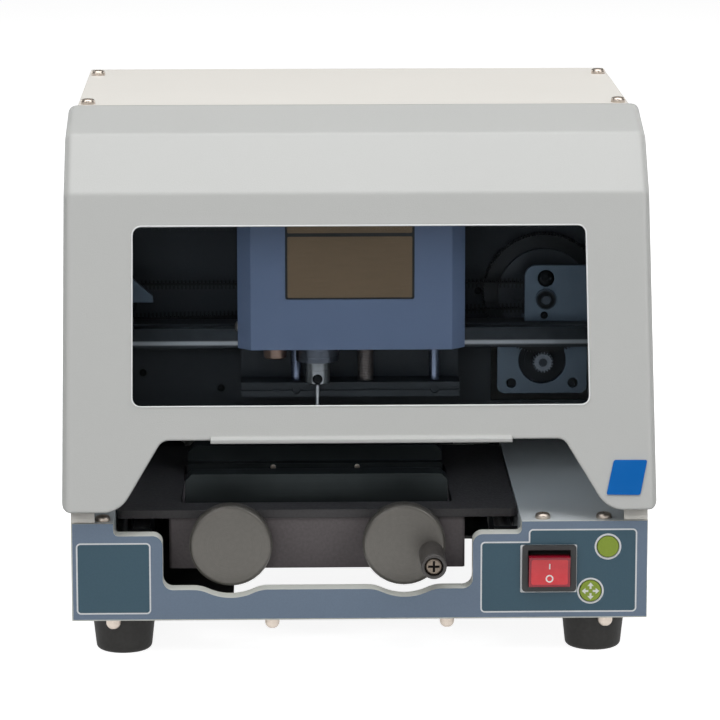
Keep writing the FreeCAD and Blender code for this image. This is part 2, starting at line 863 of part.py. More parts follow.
def gear_bracket():
    left = gear_x - bearing_boss * 2
    right = inner_half
    plate = prism_y([
        (left, beam_top, 0), (right, beam_top, 0),
        (right, bracket_top, 0), (left, bracket_top, bracket_corner),
    ], bracket_y, bracket_y + bracket_sheet)
    foot = box(left, right, bracket_y + bracket_sheet, beam_y + beam_depth, beam_top, beam_top + sheet)
    boss = rod_y(bearing_boss, bracket_y - sheet, bracket_y + 2 * bracket_sheet, gear_x, gear_z)
    bore = rod_y(shaft_radius + running, 0, base_depth, gear_x, gear_z)
    tool_hole = rod_y(bearing_boss * 0.8, 0, base_depth, gear_x, gear_z + 2 * bearing_boss)
    return plate.fuse([foot, boss]).cut([bore, tool_hole]).removeSplitter()


def idler_bracket():
    left = -inner_half
    arm_low = idler_z + sheet
    plate = prism_y([
        (left, beam_top, 0), (idler_x - bearing_boss, beam_top, 0), (idler_x - bearing_boss, arm_low, 0),
        (idler_x + 3 * bearing_boss, arm_low, 0),
        (idler_x + 3 * bearing_boss, arm_low + 2 * sheet, sheet / 2),
        (idler_x + bearing_boss, bracket_top - bearing_boss, sheet * 2),
        (left, bracket_top - bearing_boss, 0),
    ], bracket_y, bracket_y + bracket_sheet)
    foot = box(left, idler_x - bearing_boss, bracket_y + bracket_sheet, beam_y + beam_depth,
               beam_top, beam_top + sheet)
    boss = rod_y(bearing_boss * 0.8, bracket_y, belt_y - loose, idler_x, idler_z)
    pin = rod_y(idler_pin, belt_y - loose, belt_y + belt_width + loose, idler_x, idler_z)
    return plate.fuse([foot, boss, pin]).removeSplitter()


def idler_pulley():
    roller = rod_y(idler_radius, belt_y, belt_y + belt_width, idler_x, idler_z)
    return roller.cut(rod_y(idler_pin + running, 0, base_depth, idler_x, idler_z))


def x_belt():
    gap = running
    return belt((idler_x, idler_z), idler_radius + gap, (gear_x, gear_z), pulley_radius + gap,
                belt_thickness, belt_y, belt_y + belt_width)


def drive_pulley():
    shaft = rod_y(shaft_radius, bracket_y - 2 * sheet, bulkhead_y - loose, gear_x, gear_z)
    rim = rod_y(pulley_radius, belt_y, belt_y + belt_width, gear_x, gear_z)
    hub = rod_y(pulley_radius - sheet, belt_y - sheet, belt_y, gear_x, gear_z)
    return shaft.fuse([rim, hub]).removeSplitter()


def drive_gear():
    blank = gear_blank(gear_teeth, gear_module, gear_y, gear_y + gear_face, gear_x, gear_z, True)
    rim_inner = gear_module * gear_teeth / 2 - gear_module * 8
    cuts = []
    for inner, outer in ((gear_ring_outer, rim_inner), (gear_hub, gear_ring_inner)):
        ring = rod_y(outer, gear_y, gear_y + gear_face - gear_web, gear_x, gear_z)
        cuts.append(ring.cut(rod_y(inner, gear_y, gear_y + gear_face, gear_x, gear_z)))
    windows = []
    spoke_count = 6
    middle = (gear_hub + gear_ring_inner) / 2
    window_radius = (gear_ring_inner - gear_hub) * 0.36
    for i in range(spoke_count):
        angle = 2 * math.pi * i / spoke_count
        windows.append(rod_y(window_radius, gear_y, gear_y + gear_face,
                             gear_x + middle * math.cos(angle), gear_z + middle * math.sin(angle)))
    bore = rod_y(shaft_radius + running, gear_y, gear_y + gear_face, gear_x, gear_z)
    return blank.cut(cuts + windows + [bore])


def motor_plate():
    left = gear_x - plate_width / 2
    right = gear_x + plate_width / 2
    outline = rectangle(left, right, plate_bottom, plate_top, plate_corner)
    plate = prism_y(outline, plate_y, plate_y + plate_sheet)
    cuts = [rod_y(plate_bore, 0, base_depth, gear_x, pinion_z)]
    for x in (gear_x - plate_hole_half, gear_x + plate_hole_half):
        cuts.append(rod_y(plate_hole, 0, base_depth, x, plate_hole_z))
    return plate.cut(cuts)


def drive_motors():
    motor = stepper(motor_square, motor_length, y_screw_radius + running)
    x_motor = aimed(motor, V(gear_x, motor_y, pinion_z), V(0, -1, 0))
    y_motor = aimed(motor, V(runner_left, y_rod_end + motor_pilot_height, y_motor_z), V(0, -1, 0))
    return Part.Compound([x_motor, y_motor])


def motor_pinion():
    teeth = gear_blank(pinion_teeth, gear_module, gear_y, gear_y + gear_face, gear_x, pinion_z, True)
    turned = teeth.rotated(V(gear_x, 0, pinion_z), V(0, 1, 0), 180 + 180.0 / pinion_teeth)
    nose = rod_y(motor_shaft, gear_y - slip, gear_y + gear_face, gear_x, pinion_z)
    shaft = rod_y(y_screw_radius, gear_y + gear_face, motor_y + motor_length / 4, gear_x, pinion_z)
    return turned.fuse([nose, shaft]).removeSplitter()


# Carriage and head

def carriage_plate():
    left = cover_left + cover_sheet + running
    right = cover_right - cover_sheet - running
    plate = box(left, right, carriage_y, carriage_back, carriage_bottom, z_plate_bottom)
    upper = gear_z + pulley_radius
    clamp_left = carriage_x - clamp_width / 2
    clamp_right = carriage_x + clamp_width / 2
    reach = belt_y + belt_width
    arm = box(clamp_left, clamp_right, carriage_back, reach, upper - slip - 2 * clamp_wall,
              upper + belt_thickness + slip + clamp_wall)
    slot = box(clamp_left, clamp_right, belt_y - loose, reach, upper - loose, upper + belt_thickness + loose)
    lower_clear = box(clamp_left, clamp_right, carriage_back + clamp_wall, base_depth, 0,
                      upper - loose - clamp_wall)
    return plate.fuse(arm.cut([slot, lower_clear])).removeSplitter()


def carriage_blocks():
    top = beam_top - rail_drop
    middle = top - rail_width / 2
    blocks = []
    for x in (carriage_x - block_spread, carriage_x + block_spread):
        x0 = x - block_length / 2
        x1 = x + block_length / 2
        block = box(x0, x1, carriage_back, beam_y - sheet, middle - block_width / 2, middle + block_width / 2)
        channel = box(x0, x1, beam_y - rail_thickness - slip, beam_y, middle - rail_width / 2 - slip,
                      middle + rail_width / 2 + slip)
        blocks.append(block.cut(channel))
    return Part.Compound(blocks)


def z_brackets():
    left = cover_left + cover_sheet + running
    right = cover_right - cover_sheet - running
    lower = box(left, right, z_bracket_front, carriage_y, carriage_bottom, carriage_bottom + z_bracket_height)
    upper = box(left, right, z_plate_front, carriage_back, z_plate_bottom, z_motor_bottom)
    spindle_room = rod_z(spindle_motor_radius + 2 * loose, 0, body_height, spindle_x, spindle_y)
    lower_floor = carriage_bottom + sheet
    groove_low = carriage_bottom + z_bracket_height / 2 - z_bracket_groove / 2
    groove = box(left, right, z_bracket_front, z_bracket_front + z_bracket_groove, groove_low,
                 groove_low + z_bracket_groove)
    cuts = []
    for x in (z_rod_left, z_rod_right):
        cuts.append(rod_z(z_rod_radius + running, lower_floor, body_height, x, z_rod_y))
        cuts.append(rod_y(z_bracket_screw, z_bracket_front, z_bracket_front + sheet, x,
                          carriage_bottom + z_bracket_height / 2))
    screw_bore = rod_z(z_screw_radius + running, lower_floor, body_height, z_screw_x, z_rod_y)
    lower = lower.cut(cuts + [groove, screw_bore])
    upper = upper.cut(cuts + [spindle_room, rod_z(motor_pilot + slip, 0, body_height, z_screw_x, z_rod_y)])
    return Part.Compound([lower, upper])


def z_rods():
    top = z_motor_bottom - loose
    return Part.Compound([rod_z(z_rod_radius, carriage_bottom + sheet, top, x, z_rod_y)
                          for x in (z_rod_left, z_rod_right)])


def z_motor():
    motor = stepper(z_motor_square, z_motor_length, motor_shaft + running)
    return aimed(motor, V(z_screw_x, z_rod_y, z_motor_bottom), V(0, 0, -1))


def z_screw():
    thread = rod_z(z_screw_radius, carriage_bottom + sheet, z_plate_bottom, z_screw_x, z_rod_y)
    neck = rod_z(motor_shaft, z_plate_bottom, z_motor_bottom + z_motor_length / 3, z_screw_x, z_rod_y)
    return thread.fuse(neck).removeSplitter()


def cover_outline(inset, front, back):
    bevel = cover_bevel - inset * (2 - math.sqrt(2))
    left = cover_left + inset
    right = cover_right - inset
    return [
        (left, back, 0), (left, front + bevel, 0), (left + bevel, front, 0),
        (right - bevel, front, 0), (right, front + bevel, 0), (right, back, 0),
    ]


def head_cover():
    outer = prism_z(cover_outline(0, cover_front_y, carriage_back), cover_bottom, cover_top)
    inner = prism_z(cover_outline(cover_sheet, cover_front_y + cover_sheet, carriage_back + sheet),
                    0, cover_top - cover_sheet)
    return outer.cut(inner)


def spindle_block():
    left = cover_left + head_side_gap
    right = cover_right - head_side_gap
    block = box(left, right, head_front, carriage_y - head_back_gap, head_bottom, head_top)
    collar = rod_z(collar_radius, collar_bottom, head_bottom, spindle_x, spindle_y)
    cuts = [rod_z(spindle_radius + running, 0, body_height, spindle_x, spindle_y)]
    for x in (z_rod_left, z_rod_right):
        cuts.append(rod_z(z_rod_radius + running, 0, body_height, x, z_rod_y))
    cuts.append(rod_z(z_screw_radius + running, 0, body_height, z_screw_x, z_rod_y))
    return block.fuse(collar).cut(cuts).removeSplitter()


def bronze_bush():
    bush = rod_z(bush_radius, bush_bottom, head_bottom, bush_x, spindle_y)
    low_edges = [e for e in bush.Edges if abs(e.BoundBox.ZMax - bush_bottom) < 1e-6]
    bush = bush.makeChamfer(panel_sheet / 2, low_edges)
    return bush.cut(rod_z(bush_bore, 0, head_bottom, bush_x, spindle_y))


def spindle_motor():
    body = rod_z(spindle_motor_radius, head_top, head_top + spindle_motor_length, spindle_x, spindle_y)
    shaft_hole_top = head_top + spindle_motor_length / 2
    return body.cut(rod_z(motor_shaft + running, 0, shaft_hole_top, spindle_x, spindle_y))


def spindle_shaft():
    nose = rod_z(nose_radius, nose_bottom, collar_bottom - slip, spindle_x, spindle_y)
    low_edges = [e for e in nose.Edges if abs(e.BoundBox.ZMax - nose_bottom) < 1e-6]
    nose = nose.makeChamfer(panel_sheet / 2, low_edges)
    shaft = rod_z(spindle_radius, collar_bottom - slip, head_top - slip, spindle_x, spindle_y)
    tail = rod_z(motor_shaft, head_top - slip, head_top + spindle_motor_length / 4, spindle_x, spindle_y)
    seat = rod_z(cutter_radius + running, 0, nose_bottom + cutter_seat, spindle_x, spindle_y)
    set_hole = rod_y(set_screw_radius, spindle_y - 2 * nose_radius, spindle_y - nose_radius / 2,
                     spindle_x, nose_bottom + set_screw_height)
    return nose.fuse([shaft, tail]).cut([seat, set_hole]).removeSplitter()


def cutter():
    shank = rod_z(cutter_radius, cutter_neck_top, nose_bottom + cutter_seat - slip, spindle_x, spindle_y)
    point_top = cutter_tip + 2 * cutter_neck_radius
    neck = rod_z(cutter_neck_radius, point_top, cutter_neck_top, spindle_x, spindle_y)
    point = Part.makeCone(cutter_neck_radius / 6, cutter_neck_radius, point_top - cutter_tip,
                          V(spindle_x, spindle_y, cutter_tip))
    return shank.fuse([neck, point]).removeSplitter()


# Table and its Y drive

def y_rods():
    return Part.Compound([rod_y(y_rod_radius, rod_block_front, y_rod_end, x, y_rod_z)
                          for x in (runner_left, runner_right)])


def rod_blocks():
    blocks = []
    for y0 in (rod_block_front, y_rod_end - rod_block_length):
        for x in (runner_left, runner_right):
            block = box(x - runner_half, x + runner_half, y0, y0 + rod_block_length, sheet, rod_block_top)
            block = block.cut(rod_y(y_rod_radius + running, 0, base_depth, x, y_rod_z))
            foot_room = box(-base_width, base_width, 0, rim_depth + 2 * panel_sheet + slip, 0,
                            sheet + panel_sheet + slip)
            block = block.cut(foot_room)
            if x == runner_left:
                block = block.cut(rod_y(y_screw_radius + running, 0, base_depth, x, y_motor_z))
            blocks.append(block)
    return Part.Compound(blocks)


def y_screw():
    return rod_y(y_screw_radius, rod_block_front + sheet, y_rod_end + motor_pilot_height + motor_length / 4,
                 runner_left, y_motor_z)


def table_plate():
    plate = prism_z(rectangle(table_left, table_right, table_front, table_front + table_length, table_corner),
                    table_under, deck_height)
    slot = prism_z(rectangle(vise_x - slot_half, vise_x + slot_half, slot_front, slot_back, table_corner / 2),
                   0, 2 * deck_height)
    return plate.cut(slot)


def table_runners():
    pieces = []
    for x in (runner_left, runner_right):
        for y in (runner_front, runner_back):
            runner = box(x - runner_half, x + runner_half, y, y + runner_length,
                         table_under - runner_drop, table_under)
            pieces.append(runner.cut(rod_y(y_rod_radius + running, 0, base_depth, x, y_rod_z)))
    nut = box(runner_left - runner_half, runner_left + runner_half, nut_front, nut_front + nut_length,
              y_motor_z - y_screw_radius - nut_wall, table_under)
    nut = nut.cut([rod_y(y_screw_radius + running, 0, base_depth, runner_left, y_motor_z),
                   rod_y(y_rod_radius + loose, 0, base_depth, runner_left, y_rod_z)])
    return Part.Compound(pieces + [nut])


# Vise

def vise_body():
    body = prism_z(rectangle(vise_x - vise_half, vise_x + vise_half, vise_front, vise_back, sheet),
                   vise_bottom, table_under)
    hollow = box(vise_x - vise_half + vise_wall, vise_x + vise_half - vise_wall, vise_front + vise_front_wall,
                 vise_back - vise_wall, vise_bottom + vise_floor, deck_height)
    cuts = [hollow]
    for x in (screw_left, screw_right):
        cuts.append(rod_y(journal_radius + running, vise_front - sheet, vise_front + vise_front_wall,
                          x, screw_z))
        cuts.append(rod_y(tail_radius + running, vise_back - vise_wall, vise_back + sheet, x, screw_z))
    return body.cut(cuts)


def front_jaw():
    face_y = vise_y - jaw_gap_half
    jaw = prism_x([
        (face_y - jaw_thickness, jaw_bottom, 0), (face_y + jaw_ledge, jaw_bottom, 0),
        (face_y + jaw_ledge, jaw_ledge_top, 0), (face_y, jaw_ledge_top, 0),
        (face_y, jaw_top, 0), (face_y - jaw_thickness, jaw_top, 0),
    ], vise_x - jaw_half, vise_x + jaw_half)
    cuts = [rod_y(vise_screw_radius + running, 0, base_depth, x, screw_z) for x in (screw_left, screw_right)]
    for side in (-1, 1):
        end = vise_x + side * jaw_half
        wire = [(end, jaw_top - jaw_bevel, 0), (end, jaw_top, 0), (end - side * jaw_bevel, jaw_top, 0)]
        cuts.append(prism_y(wire, 0, base_depth))
    return jaw.cut(cuts)


def rear_jaw():
    return front_jaw().mirror(V(0, vise_y, 0), V(0, 1, 0))


def vise_screw(x):
    wall_back = vise_front + vise_front_wall
    tail_front = vise_back - vise_wall - sheet
    journal = rod_y(journal_radius, wheel_front + wheel_thickness / 2, wall_back, x, screw_z)
    pulley = rod_y(vise_pulley_radius, wall_back + slip, wall_back + slip + vise_pulley_width, x, screw_z)
    thread = rod_y(vise_screw_radius, wall_back + slip, tail_front, x, screw_z)
    bridge = rod_y(journal_radius, wall_back, wall_back + slip, x, screw_z)
    tail = rod_y(tail_radius, tail_front, vise_back - sheet, x, screw_z)
    return journal.fuse([bridge, pulley, thread, tail]).removeSplitter()


def left_vise_screw():
    return vise_screw(screw_left)


def right_vise_screw():
    return vise_screw(screw_right)


def wheel(x):
    back = wheel_front + wheel_thickness
    disc = rod_y(wheel_radius, wheel_front, back, x, screw_z)
    rims = [e for e in disc.Edges if e.BoundBox.YLength < 1e-6]
    disc = disc.makeChamfer(wheel_bevel, rims)
    hub = rod_y(wheel_hub, back, vise_front - slip, x, screw_z)
    bore = rod_y(journal_radius + running, wheel_front + wheel_thickness / 2, base_depth, x, screw_z)
    return disc.fuse(hub).cut(bore).removeSplitter()


def left_handwheel():
    return wheel(screw_left)


grip_x = screw_right + grip_offset_x
grip_z = screw_z + grip_offset_z


def crank_wheel():
    hole = rod_y(grip_bolt_radius - sheet / 4 + running, 0, wheel_front + wheel_thickness * 0.75,
                 grip_x, grip_z)
    return wheel(screw_right).cut(hole)


def crank_grip():
    grip = rod_y(grip_radius, grip_front, wheel_front - slip, grip_x, grip_z)
    rims = [e for e in grip.Edges if e.BoundBox.YLength < 1e-6]
    grip = grip.makeFillet(running * 15, rims)
    bore = rod_y(grip_bolt_radius + running, grip_front, wheel_front, grip_x, grip_z)
    recess = rod_y(grip_head_radius + slip, grip_front, grip_front + grip_recess, grip_x, grip_z)
    return grip.cut([bore, recess])


def grip_bolt():
    head = screw(grip_head_radius, grip_head_height, grip_bolt_radius, 1.0)
    seat = grip_front + grip_recess - running
    head = aimed(head, V(grip_x, seat, grip_z), V(0, -1, 0))
    shoulder = rod_y(grip_bolt_radius, seat, wheel_front, grip_x, grip_z)
    thread = rod_y(grip_bolt_radius - sheet / 4, wheel_front, wheel_front + wheel_thickness / 2,
                   grip_x, grip_z)
    return head.fuse([shoulder, thread]).removeSplitter()


def vise_belt():
    front = vise_front + vise_front_wall + slip + running
    return belt((screw_left, screw_z), vise_pulley_radius + running, (screw_right, screw_z),
                vise_pulley_radius + running, belt_thickness, front, front + vise_pulley_width - 2 * running)


# Controls

def switch_housing():
    w = bezel_width / 2
    h = bezel_height / 2
    outline = rectangle(switch_x - w, switch_x + w, switch_z - h, switch_z + h, bezel_corner)
    bezel = prism_y(outline, -bezel_proud, 0)
    body_w = w - switch_wall - slip
    body_h = h - switch_wall - slip
    body = box(switch_x - body_w, switch_x + body_w, 0, switch_depth, switch_z - body_h, switch_z + body_h)
    room_w = rocker_width / 2 + slip
    room_h = rocker_height / 2 + rocker_dish
    room = box(switch_x - room_w, switch_x + room_w, -2 * bezel_proud, rocker_pivot_y + rocker_tail + sheet,
               switch_z - room_h, switch_z + room_h)
    pins = rod_x(rocker_pin + running, switch_x - room_w - 2 * slip, switch_x + room_w + 2 * slip,
                 rocker_pivot_y, switch_z)
    return bezel.fuse(body).cut([room, pins]).removeSplitter()


def rocker():
    front = -bezel_proud - rocker_proud + rocker_dish
    edge_y = front - rocker_dish
    h = rocker_height / 2
    key = prism_x([
        (edge_y, switch_z + h, 0), (front, switch_z, rocker_height), (edge_y, switch_z - h, 0),
        (rocker_pivot_y, switch_z - h + rocker_dish, 0), (rocker_pivot_y + rocker_tail, switch_z - h / 3, 0),
        (rocker_pivot_y + rocker_tail, switch_z + h / 3, 0), (rocker_pivot_y, switch_z + h - rocker_dish, 0),
    ], switch_x - rocker_width / 2, switch_x + rocker_width / 2)
    pin_half = rocker_width / 2 + 2 * slip
    key = key.fuse(rod_x(rocker_pin, switch_x - pin_half, switch_x + pin_half, rocker_pivot_y, switch_z))
    return key.removeSplitter().rotated(V(switch_x, rocker_pivot_y, switch_z), V(1, 0, 0), rocker_tilt)


def shift_button():
    cap = rod_y(button_radius, -button_proud, panel_sheet + slip, shift_x, shift_z)
    flange = rod_y(button_flange, panel_sheet + slip, panel_sheet + slip + panel_sheet, shift_x, shift_z)
    stem = rod_y(post_radius, panel_sheet + slip, button_length, shift_x, shift_z)
    rim = [e for e in cap.Edges if abs(e.BoundBox.YMax + button_proud) < 1e-6]
    cap = cap.makeFillet(button_proud / 2, rim)
    return cap.fuse([flange, stem]).removeSplitter()


def jog_pad():
    pad = rod_y(button_radius, -button_proud, pad_thickness - button_proud, jog_x, jog_z)
    rim = [e for e in pad.Edges if abs(e.BoundBox.YMax + button_proud) < 1e-6]
    pad = pad.makeFillet(button_proud / 2, rim)
    pin = rod_z(spider_pin + running, jog_z - button_radius, jog_z + button_radius, jog_x, jog_pivot_y)
    ears = []
    for z0, z1 in ((jog_z - yoke_out, jog_z - yoke_in), (jog_z + yoke_in, jog_z + yoke_out)):
        ears.append(box(jog_x - spider_half, jog_x + spider_half, pad_thickness - button_proud,
                        jog_pivot_y + spider_half, z0, z1))
    return pad.fuse(ears).cut(pin).removeSplitter()


def jog_pivot():
    core = box(jog_x - spider_half, jog_x + spider_half, jog_pivot_y - spider_half, jog_pivot_y + spider_half,
               jog_z - spider_half, jog_z + spider_half)
    reach = yoke_out - slip
    across = rod_x(spider_pin, jog_x - reach, jog_x + reach, jog_pivot_y, jog_z)
    upright = rod_z(spider_pin, jog_z - reach, jog_z + reach, jog_x, jog_pivot_y)
    return core.fuse([across, upright]).removeSplitter()


def button_board():
    right = half - board_inset
    board = box(right - board_width, right, board_y, board_y + board_sheet, board_bottom, board_top)
    pieces = []
    for x0, x1 in ((jog_x - yoke_out, jog_x - yoke_in), (jog_x + yoke_in, jog_x + yoke_out)):
        pieces.append(box(x0, x1, jog_pivot_y - spider_half / 2, board_y,
                          jog_z - spider_half, jog_z + spider_half))
    tact_front = button_length + button_travel + slip
    pieces.append(box(shift_x - post_radius, shift_x + post_radius, tact_front, board_y,
                      shift_z - post_radius, shift_z + post_radius))
    pin = rod_x(spider_pin + running, jog_x - button_radius, jog_x + button_radius, jog_pivot_y, jog_z)
    for x, z in (
            (right - post_radius, board_bottom + post_radius),
            (right - board_width + 2 * post_radius, jog_z * 2)):
        pieces.append(rod_y(post_radius, panel_sheet, board_y, x, z))
    return board.fuse(pieces).cut(pin).removeSplitter()


# Electrics at the back

def socket(x, width, height, hole_width, hole_height, depth):
    flange = prism_y(rectangle(x - width / 2, x + width / 2, socket_z - height / 2, socket_z + height / 2,
                               socket_flange), base_depth, rear_face)
    w = hole_width / 2
    h = hole_height / 2
    body = box(x - w - socket_wall, x + w + socket_wall, base_depth - depth, base_depth,
               socket_z - h - socket_wall, socket_z + h + socket_wall)
    mouth = box(x - w, x + w, base_depth - depth + socket_wall, base_depth + depth,
                socket_z - h, socket_z + h)
    return flange.fuse(body).cut(mouth).removeSplitter()


def rear_sockets():
    inlet_x = half - inlet_inset
    inlet = socket(inlet_x, inlet_width, inlet_height, inlet_hole_width, inlet_hole_height, inlet_body_depth)
    floor = base_depth - inlet_body_depth
    blades = []
    for dx, dz in ((-7.0, -2.0), (0.0, 2.0), (7.0, -2.0)):
        blades.append(box(inlet_x + dx - 1, inlet_x + dx + 1, floor, base_depth - inlet_body_depth / 2,
                          socket_z + dz - 2, socket_z + dz + 2))
    inlet = inlet.fuse(blades).removeSplitter()
    port = socket(half - port_inset, port_width, port_height, port_hole_width, port_hole_height,
                  port_body_depth)
    return Part.Compound([inlet, port])


def power_supply():
    back = bulkhead_y + sheet
    left = supply_x - supply_width / 2
    right = supply_x + supply_width / 2
    top = supply_z + supply_height
    case = box(left, right, back, back + supply_depth, supply_z, top)
    room = box(left + sheet, right - sheet, back + sheet, back + supply_depth - sheet,
               supply_z + sheet, top + sheet)
    terminals = box(left + 4 * sheet, right - 4 * sheet, back, back + supply_depth / 2,
                    top - 10 * sheet, top - sheet)
    return case.cut(room).fuse(terminals).removeSplitter()


def controller_board():
    back = bulkhead_y + sheet
    left = board_rear_x - board_rear_width / 2
    right = board_rear_x + board_rear_width / 2
    top = board_rear_z + board_rear_height
    face = back + standoff_height
    board = box(left, right, face, face + board_sheet, board_rear_z, top)
    pieces = []
    edge = 2 * post_radius
    for x in (left + edge, right - edge):
        for z in (board_rear_z + edge, top - edge):
            pieces.append(rod_y(post_radius, back, face, x, z))
    chip = board_rear_width / 5
    for i in range(3):
        z = board_rear_z + board_rear_height * (i + 1) / 4
        pieces.append(box(board_rear_x - chip, board_rear_x + chip,
                          face + board_sheet, face + 3 * board_sheet, z - chip / 2, z + chip / 2))
    return board.fuse(pieces).removeSplitter()


# Every piece, by the name of its node

nodes = [
    bottom_pan, front_panel, console_decks, side_panels, rear_panel, top_cover, bulkhead, rubber_feet,
    pan_screws, bottom_screws, hood_shell, window_pane, hood_pivots, x_beam, x_rail, gear_bracket,
    idler_bracket, idler_pulley, x_belt, drive_pulley, drive_gear, motor_plate, drive_motors, motor_pinion,
    carriage_plate, carriage_blocks, z_brackets, z_rods, z_motor, z_screw, head_cover, spindle_block,
    bronze_bush, spindle_motor, spindle_shaft, cutter, y_rods, rod_blocks, y_screw, table_plate,
    table_runners, vise_body, front_jaw, rear_jaw, left_vise_screw, right_vise_screw, left_handwheel,
    crank_wheel, crank_grip, grip_bolt, vise_belt, switch_housing, rocker, shift_button, jog_pad,
    jog_pivot, button_board, rear_sockets, power_supply, controller_board,
]

os.makedirs("parts", exist_ok=True)
for piece in nodes:
    shape = piece().translated(V(0, -origin_y, foot_height))
    shape.exportStep("parts/" + piece.__name__ + ".step")
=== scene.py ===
import math

import bmesh
import bpy
from mathutils import Matrix, Vector


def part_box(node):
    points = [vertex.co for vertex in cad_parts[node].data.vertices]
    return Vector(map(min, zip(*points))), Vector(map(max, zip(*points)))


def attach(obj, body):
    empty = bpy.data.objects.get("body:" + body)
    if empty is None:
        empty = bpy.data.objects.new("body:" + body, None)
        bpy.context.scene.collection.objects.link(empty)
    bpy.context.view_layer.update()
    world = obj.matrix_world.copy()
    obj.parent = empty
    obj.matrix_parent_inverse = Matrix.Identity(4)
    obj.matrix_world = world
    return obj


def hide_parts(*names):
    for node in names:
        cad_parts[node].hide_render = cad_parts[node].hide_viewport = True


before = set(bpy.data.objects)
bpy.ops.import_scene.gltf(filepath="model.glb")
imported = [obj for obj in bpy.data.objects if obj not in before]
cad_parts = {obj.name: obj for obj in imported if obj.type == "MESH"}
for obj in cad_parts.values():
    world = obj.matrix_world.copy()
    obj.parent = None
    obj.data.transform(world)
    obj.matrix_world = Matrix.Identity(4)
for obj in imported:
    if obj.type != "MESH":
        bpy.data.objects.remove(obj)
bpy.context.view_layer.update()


# The case: folded steel side panels, rear panel, floor pan and screwed-on top cover.
# They are powder coated a light warm grey with a faint orange-peel surface, and the pan black.

def srgb(red, green, blue):
    """Colour as seen on screen, 0 to 255, as the linear colour that shaders take."""
    values = [c / 255 for c in (red, green, blue)]
    return tuple(c / 12.92 if c < 0.04045 else ((c + 0.055) / 1.055) ** 2.4 for c in values) + (1.0,)


def fill(tree, made, inputs):
    """Links a node's inputs to sockets, or sets them, by name with underscores for spaces."""
    for name, value in inputs.items():
        slot = made.inputs[name.replace("_", " ")]
        for part in value if isinstance(value, list) else [value]:
            if isinstance(part, bpy.types.NodeSocket):
                tree.links.new(part, slot)
            else:
                slot.default_value = part
    return made


def place(tree, kind, **inputs):
    """Adds a shader node; each input is a socket or a plain value."""
    return fill(tree, tree.nodes.new("ShaderNode" + kind), inputs)


def sum_up(tree, operation, first, second=None, third=None):
    """A Math node whose inputs are sockets or plain numbers."""
    made = tree.nodes.new("ShaderNodeMath")
    made.operation = operation
    for slot, value in enumerate((first, second, third)):
        if isinstance(value, (int, float)):
            made.inputs[slot].default_value = value
        elif value is not None:
            tree.links.new(value, made.inputs[slot])
    return made.outputs[0]


def blend_colors(tree, amount, first, second):
    """A colour Mix node; each input is a socket or a plain colour."""
    made = tree.nodes.new("ShaderNodeMix")
    made.data_type = "RGBA"
    for slot, value in ((0, amount), (6, first), (7, second)):
        if isinstance(value, bpy.types.NodeSocket):
            tree.links.new(value, made.inputs[slot])
        else:
            made.inputs[slot].default_value = value
    return made.outputs[2]


def new_group(name, inputs, outputs):
    """Shader group with named sockets: (name, type, default) in, (name, type) out."""
    tree = bpy.data.node_groups.new(name, "ShaderNodeTree")
    for label, kind, default in inputs:
        socket = tree.interface.new_socket(label, in_out="INPUT", socket_type="NodeSocket" + kind)
        if default is not None:
            socket.default_value = default
    for label, kind in outputs:
        tree.interface.new_socket(label, in_out="OUTPUT", socket_type="NodeSocket" + kind)
    return tree, tree.nodes.new("NodeGroupInput").outputs, tree.nodes.new("NodeGroupOutput")


def new_material(name):
    """Material with its Principled shader and the socket of its Object coordinates."""
    material = bpy.data.materials.new(name)
    material.use_nodes = True
    tree = material.node_tree
    shader = tree.nodes["Principled BSDF"]
    return material, tree, shader, place(tree, "TexCoord").outputs["Object"]


def noise(tree, coords, scale, detail):
    """Noise over the piece, from 0 to 1."""
    return place(tree, "TexNoise", Vector=coords, Scale=scale, Detail=detail).outputs[0]


def worn(tree, wear, spread, roughness):
    """Roughness that changes with the wear."""
    return sum_up(tree, "MULTIPLY_ADD", wear, spread, roughness)


def set_finish(tree, shader, color, roughness, metallic=0.0):
    """Gives a shader its colour and roughness, which vary, and how metallic it is."""
    fill(tree, shader, {"Base Color": color, "Roughness": roughness, "Metallic": metallic})


def use_group(tree, group, coords, **values):
    """Places a shader group in a material with its own values."""
    made = tree.nodes.new("ShaderNodeGroup")
    made.node_tree = group
    return fill(tree, made, dict(values, Vector=coords))


def raise_surface(tree, shader, height, strength, distance, soften=0.0):
    """Bump from a height, over edges softened by a small radius."""
    bump = place(tree, "Bump", Strength=strength, Distance=distance, Height=height)
    if soften:
        bevel = place(tree, "Bevel", Radius=soften)
        bevel.samples = 4
        tree.links.new(bevel.outputs[0], bump.inputs["Normal"])
    tree.links.new(bump.outputs[0], shader.inputs["Normal"])


coat_group, coat_in, coat_out = new_group(
    "powder_coat",
    [("Vector", "Vector", None), ("Color", "Color", None), ("Mottle", "Float", 0.05),
     ("Grain Scale", "Float", 1500.0), ("Roughness", "Float", 0.42)],
    [("Color", "Color"), ("Roughness", "Float"), ("Height", "Float")])
clouds = noise(coat_group, coat_in["Vector"], 9.0, 3.0)
grain = noise(coat_group, coat_in["Vector"], coat_in["Grain Scale"], 2.0)
shade = sum_up(coat_group, "MULTIPLY", clouds, coat_in["Mottle"])
speck = sum_up(coat_group, "MULTIPLY", grain, coat_in["Mottle"])
darker = sum_up(coat_group, "ADD", shade, speck)
black = (0.0, 0.0, 0.0, 1.0)
fill(coat_group, coat_out, {"Color": blend_colors(coat_group, darker, coat_in["Color"], black),
                            "Roughness": worn(coat_group, grain, 0.16, coat_in["Roughness"]),
                            "Height": grain})


